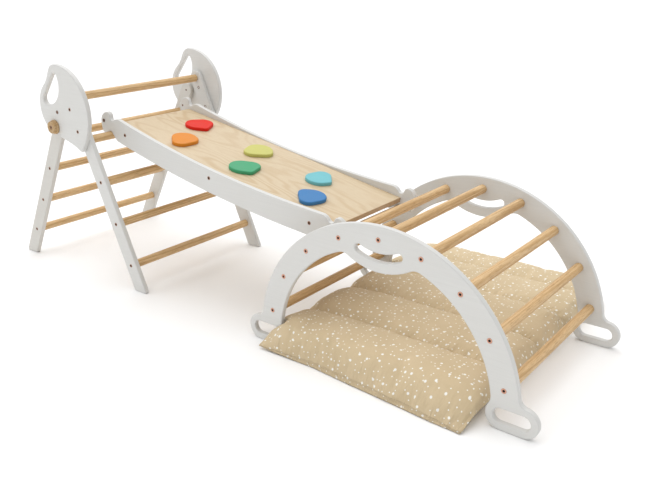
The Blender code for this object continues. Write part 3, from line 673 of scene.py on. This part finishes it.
hook_tip, heel, lobe, lobe_crown, notch, shoulder = in_shares(RAIL_END_SHARES, RAIL_END_SIZE, 0, 0)
lower_end = [hook_tip, (0, 0, -HOOK_RADIUS), heel]
upper_end = [shoulder, notch, lobe_crown, lobe]
rail_outline = lower_end + [long_arc(heel, -RAIL_BOTTOM_DROP, 1)]
rail_outline += mirrored(upper_end + lower_end, ramp_middle)
rail_outline += [long_arc(shoulder, RAIL_TOP_HEIGHT, -1)] + upper_end
RAIL_BOLTS = ((0.083, 0.026), (0.5244, 0.016), (0.9658, 0.026))
BATTEN_DROPS = (0.020, 0.022, 0.020)
LATCH_PLACE = (-0.0392, 0.0464)
rail_white = white_lacquer("rail_lacquer", -ramp_slope)
for word, side in SIDES:
    node = f"ramp_rail_{word}"
    outer_y = outer_face(node, side)
    loops = [rounded_loop(rail_outline)] + bores(RAIL_BOLTS) + bores([LATCH_PLACE], PIVOT_BORE_RADIUS)
    rail = slab(f"ramp_side_{word}", loops, PLY_THICKNESS, on_ramp(side, outer_y), rail_white)
    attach(rail, "ramp")
    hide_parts(node)
    spots = [(ramp_start + x * down + z * above)[[0, 2]] for x, z in RAIL_BOLTS]
    heads = bolt_heads(f"rail_bolts_{word}", spots, side, outer_y, brown)
    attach(heads, "ramp")
    for slot_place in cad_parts[f"ramp_latch_bolt_{word}"].material_slots:
        slot_place.material = dark


def birch_board(name):
    """Clear-varnished birch plywood: the contour rings of a slowly swirling noise, as a peeled veneer cuts
    through the year rings, fine pores along the ramp, and the layers at its edge."""
    material, shader, spot = new_finish(name)
    level = mapped(spot, turn=(0, -ramp_slope, 0))
    drawn = mapped(level, (0.24, 1, 1))
    swirl = noise(drawn, 4.6, 2.5, 0.45)
    figure = maths("SINE", maths("MULTIPLY", swirl, BOARD_RINGS))
    pores = noise(mapped(level, (0.10, 1, 1)), 360.0, 4.0, 0.7)
    strength = stretch(noise(drawn, 9.0, 3.0), 0.25, 1.0, 0.35, 0.65)
    late = maths("MULTIPLY", stretch(figure, 0.0, 1.0, -0.3, 1.0), strength)
    colour = mix(late, BOARD_PALE, BOARD_FIGURE)
    colour = mix(stretch(pores, 0.0, 0.5, 0.45, 0.75), colour, BOARD_PORE)
    layers = put("TexWave", {"Vector": level, "Scale": PLY_LAYER_SCALE, "Distortion": 0.6},
                 wave_type="BANDS", bands_direction="Z").outputs["Fac"]
    at_edge = stretch(attribute(spot, "edge"), 0.0, 1.0, 0.6, 1.0)
    colour = mix(at_edge, colour, mix(layers, PLY_DARK, PLY_PALE))
    wire(shader, colour, stretch(pores, 0.36, 0.52), bump(pores, 0.15, 0.0003))
    return material


BOARD_TOP_HEIGHT = 0.0434
BOARD_THICKNESS = 0.017
BOARD_EDGE_EASE = 0.0014
BATTEN_EASE = 0.0018
BATTEN_HALF_WIDTH = 0.010
BATTEN_GAP = 0.0003
PLY_LAYER_SCALE = 112.0
BOARD_RINGS = 150.0
BOARD_PALE = (0.608, 0.488, 0.322, 1)
BOARD_FIGURE = (0.530, 0.390, 0.226, 1)
BOARD_PORE = (0.510, 0.375, 0.220, 1)
PLY_DARK = (0.34, 0.20, 0.10, 1)
PLY_PALE = (0.56, 0.38, 0.21, 1)
board_birch = birch_board("board_birch")
board_half = (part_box("ramp_board")[1][1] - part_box("ramp_board")[0][1]) / 2
board_low = BOARD_TOP_HEIGHT - BOARD_THICKNESS
bars = [("ramp_board", 0, RAMP_REACH, board_low, BOARD_TOP_HEIGHT, BOARD_EDGE_EASE, board_birch,
         "birch_board")]
batten_top = board_low - BATTEN_GAP
for number, ((middle, height), drop) in enumerate(zip(RAIL_BOLTS, BATTEN_DROPS), 1):
    bars.append((f"ramp_batten_{number}", middle - BATTEN_HALF_WIDTH, middle + BATTEN_HALF_WIDTH,
                 batten_top - drop, batten_top, BATTEN_EASE, rung_beech, "beech_rung"))
for node, x_from, x_to, z_from, z_to, ease, wood, slot_name in bars:
    left, right, inner = x_from + ease, x_to - ease, board_half - ease
    loop = [(left, -inner, ease), (right, -inner, ease), (right, inner, ease), (left, inner, ease)]
    place = on_ramp()
    place[:3, 3] += z_from * above
    bar = slab(f"{node}_panel", [(loop, ease, ease)], z_to - z_from, place, wood)
    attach(bar, "ramp")
    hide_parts(node)


# Stepping stones: wooden pebbles cut from board, each to a blunt egg of its own, rounded over, painted in
# satin colours and screwed from below. Their pulleys are along and across the ramp, in shares of a length.
STONE_LENGTH = 0.112
STONE_THICKNESS = 0.0125
STONE_SEAT_GAP = 0.0003
STONE_LOWER_ROUNDING = 0.0012
STONE_UPPER_ROUNDING = 0.0042
PAINT_DRIFT = (1.06, 0.93)
STONES = (
    ("red", (0.181, 0.069), (0.70, 0.015, 0.004),
     ((-0.009, -0.029, 0.427), (0.355, -0.058, 0.153), (-0.004, 0.242, 0.332))),
    ("orange", (0.267, -0.087), (0.70, 0.240, 0.022),
     ((0.183, -0.273, 0.276), (0.088, 0.070, 0.382), (-0.034, 0.080, 0.409))),
    ("lime", (0.487, 0.069), (0.55, 0.535, 0.150),
     ((0.075, -0.244, 0.307), (0.262, 0.031, 0.332), (0.083, 0.068, 0.427))),
    ("green", (0.573, -0.086), (0.060, 0.350, 0.168),
     ((0.034, -0.081, 0.439), (0.372, -0.162, 0.162), (0.132, 0.179, 0.300))),
    ("sky", (0.789, 0.066), (0.165, 0.490, 0.540),
     ((0.041, -0.126, 0.409), (0.323, -0.083, 0.164), (-0.042, 0.175, 0.278))),
    ("blue", (0.876, -0.088), (0.048, 0.198, 0.450),
     ((0.093, -0.266, 0.252), (-0.005, 0.055, 0.419), (-0.212, 0.057, 0.264))))


def stone_paint(name, colour):
    """Satin paint on sanded wood: its colour drifts a little, and the grain stands up faintly under it."""
    material, shader, spot = new_finish(name)
    drift = noise(spot, 30.0, 4.0)
    pale, deep = (tuple(min(1, c * share) for c in colour) + (1,) for share in PAINT_DRIFT)
    grain = bump(noise(spot, 380.0, 3.0), 0.15, 0.0003)
    wire(shader, mix(drift, deep, pale), stretch(drift, 0.42, 0.55), grain, 0.2)
    return material


for colour_name, (along, across), colour, shares in STONES:
    place = on_ramp()
    place[:3, 3] += along * down + (0, across, 0) + (BOARD_TOP_HEIGHT + STONE_SEAT_GAP) * above
    loop = (in_shares(shares, STONE_LENGTH, 0, 0), STONE_LOWER_ROUNDING, STONE_UPPER_ROUNDING)
    paint = stone_paint(f"paint_{colour_name}", colour)
    stone = slab(f"pebble_{colour_name}", [loop], STONE_THICKNESS, place, paint)
    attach(stone, "ramp")
    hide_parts(f"stone_{colour_name}")


# Floor cushion: two sheets of sand-coloured cotton sewn round the rim and across into five channels, and
# filled with fibre. It lies on the floor through the arch, whose feet hold its sides in. A cloth
# simulation swells the fibre-filled sheets between their seams.
CUSHION_FRONT = -0.397
FRONT_DRAWN_AT = (-0.404, -0.300, -0.200, -0.065, 0.060, 0.225, 0.330)
FRONT_DRAWN_BACK = (0.028, 0.033, 0.036, 0.024, 0.016, 0.003, 0.000)
FRONT_REACH = 0.078
CORNER_POINT = (-0.015, 0.008)
CORNER_REACH = 0.075
CUSHION_SEAMS = (-0.142, 0.082, 0.286, 0.476)
CUSHION_BACK = 0.652
CUSHION_LEFT = -0.404
CUSHION_HELD = 0.3437
CUSHION_RIGHT = 0.329
CUSHION_CREST = 0.092
CUSHION_VALLEYS = (0.0765, 0.0775, 0.0850, 0.0865)
CUSHION_HEM = 0.0025
CUSHION_SIDE_SEAM = 0.043
CUSHION_SEAM_DRAW = 0.012
CUSHION_FLOOR_GAP = 0.0005
FRAME_HALF_WIDTH = 0.315
PLATE_CLEARANCE = 0.0022
PLATE_BULGE = 0.0040
CUSHION_STEP = 0.0095
CLOTH_SLACK = 0.045
SWELL_CAP = 0.006
SWELL_FRAMES = 20
ROW_GAP = 0.0012
FRONT_POWER, BACK_POWER, CHANNEL_POWER = 0.62, 0.50, 0.55
RIM_SIDE_POWER, CHANNEL_SIDE_POWER = 0.36, 0.25
FRONT_FALL_POWER = 0.6
SIDE_POWERS = (6, 10)
HEAP_HEIGHT = 0.024
HEAP_REACH = (0.050, 0.075)
PUCKER_REACH = 0.030
HEM_REACH = 0.055
HEM_BAND = 0.015
FOLD_HEIGHT = 0.0042
LEFT_DENT, LEFT_DENT_FROM, LEFT_DENT_RUN = 0.007, 0.35, 0.5
FAR_HEAP = (0.292, 0.238, 0.015)
FAR_HEAP_REACH = (0.048, 0.042)
SIDE_PUCKER_REACH, SIDE_PUCKER_SHARE, SIDE_PUCKER_END = 0.030, 0.8, -0.25
PUCKER_FADE, PUCKER_FADE_FROM, PUCKER_FADE_RUN = 0.5, 0.15, 0.3
FOLDS = ((0.024, 0.3, 0.45), (0.041, 1.7, 0.35), (0.067, 4.1, 0.20))
WANDER_ALONG, WANDER_ACROSS = (0.9, 0.047), (1.3, 0.11)


def smooth_step(value):
    """From 0 to 1 along 3 v**2 - 2 v**3."""
    value = np.clip(value, 0, 1)
    return value * value * (3 - 2 * value)


def cushion_grid():
    """The two sheets as (rows, columns, 3) grids before the cloth swells, the rows that are seams, how much
    each point puckers, how free of the plates each row is, and each column's share across (-1 to 1).

    A channel's top is low + (crest - low) * (4 s (1 - s)) ** power, with s the share of its length. It
    falls to the side seam as the square root of 1 - across ** 6, or ** 10 on the fuller right. Rows lie
    closer beside a seam and beside the arch's plates, which stand the left edge up against their feet.
    """
    lines = np.array((CUSHION_FRONT,) + CUSHION_SEAMS + (CUSHION_BACK,))
    rows = [np.array((CUSHION_BACK,))]
    for start, end in zip(lines, lines[1:]):
        count = math.ceil((end - start) / CUSHION_STEP)
        rows.append(start + (end - start) * (0.5 - 0.5 * np.cos(math.pi * np.arange(count) / count)))
    beside = np.array((PLATE_CLEARANCE, PLATE_CLEARANCE + PLATE_BULGE / 2, PLATE_CLEARANCE + PLATE_BULGE))
    faces = np.concatenate((FRAME_HALF_WIDTH + beside, FRAME_HALF_WIDTH - PLY_THICKNESS - beside))
    spaced = np.concatenate(rows)
    faces = np.concatenate((faces, -faces))
    spaced = spaced[(np.abs(spaced[:, None] - faces).min(axis=1) > ROW_GAP) | np.isin(spaced, lines)]
    y = np.sort(np.concatenate((spaced, faces)))
    channel = np.clip(np.searchsorted(lines, y, side="right") - 1, 0, len(lines) - 2)
    share = (y - lines[channel]) / (lines[channel + 1] - lines[channel])
    y, channel, share = y[:, None], channel[:, None], share[:, None]
    at_front = (channel == 0) & (share < 0.5)
    at_rim = at_front | ((channel == len(lines) - 2) & (share > 0.5))
    round_off = np.clip(4 * share * (1 - share), 0, 1)
    swell = round_off ** 0.5
    draw = CUSHION_SEAM_DRAW * (1 - swell)
    side = np.where(at_rim, CUSHION_HEM + (CUSHION_SIDE_SEAM - CUSHION_HEM) * round_off, CUSHION_SIDE_SEAM)
    lift = (CUSHION_HEM - CUSHION_FLOOR_GAP) * (1 - swell) ** 3
    base = CUSHION_FLOOR_GAP + np.where(at_rim, lift, 0)
    to_plate = np.abs(np.abs(y) - (FRAME_HALF_WIDTH - PLY_THICKNESS / 2)) - PLY_THICKNESS / 2
    free = smooth_step((to_plate - PLATE_CLEARANCE) / PLATE_BULGE)
    left, right = CUSHION_LEFT + draw, CUSHION_RIGHT - draw
    count = math.ceil((CUSHION_RIGHT - CUSHION_LEFT) / CUSHION_STEP)
    mid = np.sin(math.pi / 2 * np.linspace(-1, 1, count + 1))
    fall_power = 0.5 + np.where(at_front, FRONT_FALL_POWER * (1 - round_off), 0.0)
    full = (1 - np.abs(mid) ** np.where(mid < 0, *SIDE_POWERS)) ** fall_power
    low = np.where(at_rim, CUSHION_HEM, np.interp(y, CUSHION_SEAMS, CUSHION_VALLEYS))
    power = np.where(at_front, FRONT_POWER, np.where(at_rim, BACK_POWER, CHANNEL_POWER))
    power = power + np.where(at_rim, RIM_SIDE_POWER, CHANNEL_SIDE_POWER) * np.abs(mid) ** 4
    low = low - LEFT_DENT * ~at_rim * smooth_step((-mid - LEFT_DENT_FROM) / LEFT_DENT_RUN)
    crown = low + (CUSHION_CREST - low) * round_off ** power
    x = (left + right) / 2 + (right - left) / 2 * mid
    drawn_back = np.interp(x, FRONT_DRAWN_AT, FRONT_DRAWN_BACK)
    deep = y + drawn_back * np.clip((CUSHION_FRONT + FRONT_REACH - y) / FRONT_REACH, 0, 1)
    top = side + (crown - side) * full
    off_foot = (x + CUSHION_HELD) / HEAP_REACH[0], (np.abs(y) - FRAME_HALF_WIDTH) / HEAP_REACH[1]
    top += HEAP_HEIGHT * np.exp(-off_foot[0] ** 2 - off_foot[1] ** 2) * full * swell
    off_heap = (x - FAR_HEAP[0]) / FAR_HEAP_REACH[0], (y - FAR_HEAP[1]) / FAR_HEAP_REACH[1]
    far_heap = np.exp(-off_heap[0] ** 2 - off_heap[1] ** 2)
    top += FAR_HEAP[2] * far_heap * full
    bottom = side - (side - base) * full
    corner = np.clip(1 - (y - CUSHION_FRONT) / CORNER_REACH, 0, 1) ** 2 * np.clip(-2 * mid - 1, 0, 1) ** 2
    x = x + CORNER_POINT[0] * corner
    upper, lower = (np.stack((x, deep, height + CORNER_POINT[1] * corner), axis=-1) + (arch_x, mid_y, 0)
                    for height in (top, bottom))
    near = np.exp(-(np.abs(y - lines[1:]).min(axis=1, keepdims=True) / PUCKER_REACH) ** 2)
    near *= 1 - PUCKER_FADE * smooth_step((y - PUCKER_FADE_FROM) / PUCKER_FADE_RUN)
    near += np.exp(-((y - lines[0]) / HEM_REACH) ** 2)
    near = near + far_heap
    at_side = SIDE_PUCKER_SHARE * np.exp(-((CUSHION_RIGHT - x) / SIDE_PUCKER_REACH) ** 2)
    near = near + at_side * (y < SIDE_PUCKER_END)
    return upper, lower, np.isin(y, CUSHION_SEAMS), near, free, mid


def gathers(sheet, across, along, near):
    """The sheet pushed along its normal by rounded folds, each (width, offset, strength): strength times
    |sin(pi across / width)|, and the folds wander as they leave the seams."""
    normal = np.cross(np.gradient(sheet, axis=1), np.gradient(sheet, axis=0))
    normal /= np.maximum(np.linalg.norm(normal, axis=2, keepdims=True), 1e-9)
    height = np.zeros(across.shape)
    for width, offset, strength in FOLDS:
        wander = WANDER_ALONG[0] * np.sin(along / WANDER_ALONG[1] + offset * 3)
        wander = wander + WANDER_ACROSS[0] * np.sin(across / WANDER_ACROSS[1] + offset)
        height += strength * np.abs(np.sin(math.pi * across / width + offset + wander))
    return sheet + normal * (FOLD_HEIGHT * (height - 1) * near)[..., None]


COTTON_PALE = (0.645, 0.518, 0.335, 1)
COTTON_DEEP = (0.585, 0.464, 0.288, 1)
COTTON_SLUB = (0.70, 0.57, 0.40, 1)
DOT_WHITE = (0.90, 0.885, 0.84, 1)
SEAM_SHADE = (0.33, 0.235, 0.13, 1)
HEM_SHADE = (0.40, 0.29, 0.165, 1)
DOTS = ((26.0, 0.0038, 0.2), (52.0, 0.0019, 0.3))


def cotton(name):
    """Cotton with a printed scatter of white dots in two sizes, a plain weave and puckers by the seams.

    The cloth attribute holds how far the thread has run across and down in metres and how near a seam is.
    Dots are (cells in a metre, radius, share of the cells left bare).
    """
    material, shader, spot = new_finish(name)
    across, down, near_seam = put("SeparateXYZ", {0: attribute(spot, "cloth", "Vector")}).outputs
    flat = put("CombineXYZ", {0: across, 1: down}).outputs[0]
    drift = noise(flat, 9.0, 6.0, 0.6)
    body = mix(stretch(drift, 0.0, 1.0), COTTON_PALE, COTTON_DEEP)
    slub = noise(mapped(flat, (900, 130, 1)), 1.0, 2.0)
    body = mix(stretch(slub, 0.0, 0.22, 0.4, 0.7), body, COTTON_SLUB)
    ragged = noise(flat, 420.0, 2.0)
    for scale, radius, bare in DOTS:
        cells = put("TexVoronoi", {"Vector": flat, "Scale": scale, "Randomness": 0.85},
                    voronoi_dimensions="2D").outputs
        reach = maths("MULTIPLY_ADD", ragged, 0.015, cells["Distance"])
        inside = stretch(reach, 1.0, 0.0, radius * scale - 0.012, radius * scale + 0.022)
        chance = put("SeparateXYZ", {0: cells["Color"]}).outputs[0]
        dot = maths("MULTIPLY", inside, maths("GREATER_THAN", chance, bare))
        body = mix(dot, body, DOT_WHITE)
    # Painted shade along the seams and the rim, where the cloth creases.
    body = mix(stretch(attribute(spot, "stitched"), 0.0, 0.22, 0.8, 1.0), body, SEAM_SHADE)
    # Painted shade in a narrow band along the front hem, by the floor.
    band = stretch(maths("LESS_THAN", down, HEM_BAND), 0.0, 0.18, 0.0, 1.0)
    body = mix(band, body, HEM_SHADE)
    warp, weft = (put("TexWave", {"Vector": flat, "Scale": 300.0}, wave_type="BANDS",
                      bands_direction=way).outputs["Fac"] for way in "XY")
    weave = bump(maths("MULTIPLY", warp, weft), 0.25, 0.0004)
    folds = noise(mapped(flat, (90, 14, 1)), 1.0, 3.0)
    off_hem = maths("ABSOLUTE", maths("SUBTRACT", down, HEM_BAND))
    crease = stretch(off_hem, 1.0, 0.0, 0.0005, 0.0030)
    tall = maths("MULTIPLY_ADD", crease, -0.22, maths("MULTIPLY", folds, near_seam))
    puckers = bump(tall, 0.9, 0.010, weave)
    rumple = bump(noise(flat, 17.0, 3.0), 0.35, 0.006, puckers)
    wire(shader, body, stretch(drift, 0.82, 0.95), rumple, 0.2)
    shader.inputs["Sheen Weight"].default_value = 0.12
    shader.inputs["Sheen Roughness"].default_value = 0.5
    return material


def run_along(sheet, axis, start):
    """How far the cloth has run along one way of a sheet, in metres, counted from the given row."""
    step = np.linalg.norm(np.diff(sheet, axis=axis), axis=2)
    first = np.zeros_like(np.take(step, [0], axis=axis))
    run = np.concatenate((first, np.cumsum(step, axis=axis)), axis=axis)
    return run - np.take(run, [start], axis=axis)


def grid_quads(index):
    """A quad between each four neighbours of a grid of point numbers."""
    corners = index[:-1, :-1], index[:-1, 1:], index[1:, 1:], index[1:, :-1]
    return np.stack(corners, axis=-1).reshape(-1, 4)


upper, lower, seam_rows, near, free, mid = cushion_grid()
middle = len(mid) // 2
grid = np.arange(upper.shape[0] * upper.shape[1]).reshape(upper.shape[:2])
across = np.broadcast_to(np.median(run_along(upper, 1, middle), axis=0), grid.shape)
along = np.broadcast_to(run_along(upper, 0, 0)[:, middle:middle + 1], grid.shape)
under = 2 * np.where(mid < 0, across[:, :1], across[:, -1:]) - across
near = near * np.sqrt(np.clip(1 - np.abs(mid) ** 12, 0, 1))
upper[1:-1, 1:-1] = gathers(upper, across, along, near)[1:-1, 1:-1]
for sheet in (upper, lower):
    stood = np.maximum(sheet[..., 0], arch_x - CUSHION_HELD)
    sheet[..., 0] += (stood - sheet[..., 0]) * (1 - free)
on_rim = np.zeros(grid.shape, bool)
on_rim[[0, -1], :] = True
on_rim[:, [0, -1]] = True
lower_index = np.where(on_rim, grid, 0)
lower_index[~on_rim] = grid.size + np.arange((~on_rim).sum())
points = np.vstack((upper.reshape(-1, 3), lower[~on_rim]))
thread = np.vstack((np.stack((across, along, near), axis=-1).reshape(-1, 3),
                    np.stack((under, along, near), axis=-1)[~on_rim]))
seam_line = np.broadcast_to(seam_rows, grid.shape)
stitched = np.concatenate(((seam_line | on_rim).reshape(-1), np.zeros((~on_rim).sum(), bool)))
beside_plate = (free < 0.99) & (mid < -0.5)
held = np.concatenate(((seam_line | beside_plate).reshape(-1), np.ones((~on_rim).sum(), bool)))
pad = make_piece("floor_cushion", points, [grid_quads(grid), grid_quads(lower_index)[:, ::-1]],
                 cotton("cushion_cotton"))
pad.data.attributes.new("cloth", "FLOAT_VECTOR", "POINT").data.foreach_set("vector", thread.reshape(-1))
pad.data.attributes.new("stitched", "FLOAT", "POINT").data.foreach_set("value", stitched.astype(float))


def swell_cloth(piece, pinned, slack, cap):
    """Fill a sewn cloth with air between its pinned points, moving no point further than cap.

    The cloth is cut larger than its shape by slack, so that it gathers where it is sewn down.
    """
    start = np.empty(len(piece.data.vertices) * 3)
    piece.data.vertices.foreach_get("co", start)
    start = start.reshape(-1, 3)
    piece.vertex_groups.new(name="pinned").add(np.flatnonzero(pinned).tolist(), 1.0, "REPLACE")
    cloth = piece.modifiers.new("cloth", "CLOTH")
    fabric = cloth.settings
    fabric.quality = 6
    fabric.mass = 0.25
    fabric.tension_stiffness = fabric.compression_stiffness = 18
    fabric.shear_stiffness = 6
    fabric.bending_stiffness = 0.3
    fabric.vertex_group_mass = "pinned"
    fabric.shrink_min = -slack
    fabric.use_pressure = True
    fabric.uniform_pressure_force = 4.0
    fabric.effector_weights.gravity = 0.0
    cloth.point_cache.frame_start, cloth.point_cache.frame_end = 1, SWELL_FRAMES
    for moment in range(1, SWELL_FRAMES + 1):
        scene.frame_set(moment)
    done = piece.evaluated_get(bpy.context.evaluated_depsgraph_get())
    swollen = np.empty(start.size)
    done.data.vertices.foreach_get("co", swollen)
    swollen = swollen.reshape(-1, 3)
    piece.modifiers.remove(cloth)
    scene.frame_set(1)
    shift = swollen - start
    far = np.linalg.norm(shift, axis=1, keepdims=True)
    shift *= np.minimum(1, cap / np.maximum(far, 1e-9))
    moved = start + shift
    moved[:, 2] = np.maximum(moved[:, 2], CUSHION_FLOOR_GAP)
    piece.data.vertices.foreach_set("co", moved.reshape(-1))
    piece.data.update()


swell_cloth(pad, held, CLOTH_SLACK, SWELL_CAP)
finer = pad.modifiers.new("finer", "SUBSURF")
finer.levels = finer.render_levels = 1
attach(pad, "cushion")
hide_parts("cushion")


# Where it was photographed: a plain pale floor, broad soft light from above and the front, and the
# camera at standing height off the arch's near corner.
EYE = np.array((arch_x + 1.06224, mid_y - 1.90456, 1.145))
LOOK = np.array((-0.58015, 0.73610, -0.34869))
RIGHT = np.array((0.78691, 0.61704, -0.00666))
SENSOR_WIDTH, FOCAL_LENGTH = 36.0, 42.105
FLOOR_HALF, FLOOR_DROP = 60.0, 0.0002
LAMP_PLACE = np.array((-0.6, 0.8, 3.4))
LAMP_AIM = np.array((-0.1, 0, 0))
LAMP_SIZE, LAMP_POWER = 3.0, 18
SUN_STRENGTH, SUN_WIDTH = 2.0, math.radians(100)
SUN_LEAN = (math.radians(-4), math.radians(-20), 0)
SKY_STRENGTH = 0.59
floor_grid = np.array(((-1, -1, 0), (1, -1, 0), (1, 1, 0), (-1, 1, 0))) * FLOOR_HALF - (0, 0, FLOOR_DROP)
floor_paint, floor_shader, _ = new_finish("studio_floor")
floor_shader.inputs["Base Color"].default_value = (0.96, 0.96, 0.96, 1)
floor_shader.inputs["Roughness"].default_value = 0.8
make_piece("studio_floor", floor_grid, [np.array(((0, 1, 2, 3),))], floor_paint)


def set_up(name, data, across, back, place):
    """A camera or lamp at place, its own X along across and looking away from back."""
    pose = np.eye(4)
    pose[:3] = np.column_stack((across, np.cross(back, across), back, place))
    stood = bpy.data.objects.new(name, data)
    stood.matrix_world = Matrix(pose.tolist())
    scene.collection.objects.link(stood)
    return stood


lens = bpy.data.cameras.new("camera")
lens.sensor_width, lens.lens = SENSOR_WIDTH, FOCAL_LENGTH
scene.camera = set_up("camera", lens, RIGHT, -LOOK, EYE)
lamp = bpy.data.lights.new("top_light", "AREA")
lamp.size, lamp.energy = LAMP_SIZE, LAMP_POWER
lamp_back = (LAMP_PLACE - LAMP_AIM) / np.linalg.norm(LAMP_PLACE - LAMP_AIM)
lamp_across = np.cross((0, 1, 0), lamp_back)
set_up("top_light", lamp, lamp_across / np.linalg.norm(lamp_across), lamp_back, LAMP_PLACE)
day = bpy.data.lights.new("day", "SUN")
day.energy, day.angle = SUN_STRENGTH, SUN_WIDTH
sun = bpy.data.objects.new("day", day)
sun.rotation_euler = SUN_LEAN
scene.collection.objects.link(sun)
world = bpy.data.worlds.new("studio")
world.use_nodes = True
world.node_tree.nodes["Background"].inputs[0].default_value = (1.0, 1.0, 1.0, 1)
world.node_tree.nodes["Background"].inputs[1].default_value = SKY_STRENGTH
scene.world = world
scene.view_settings.view_transform = "Standard"
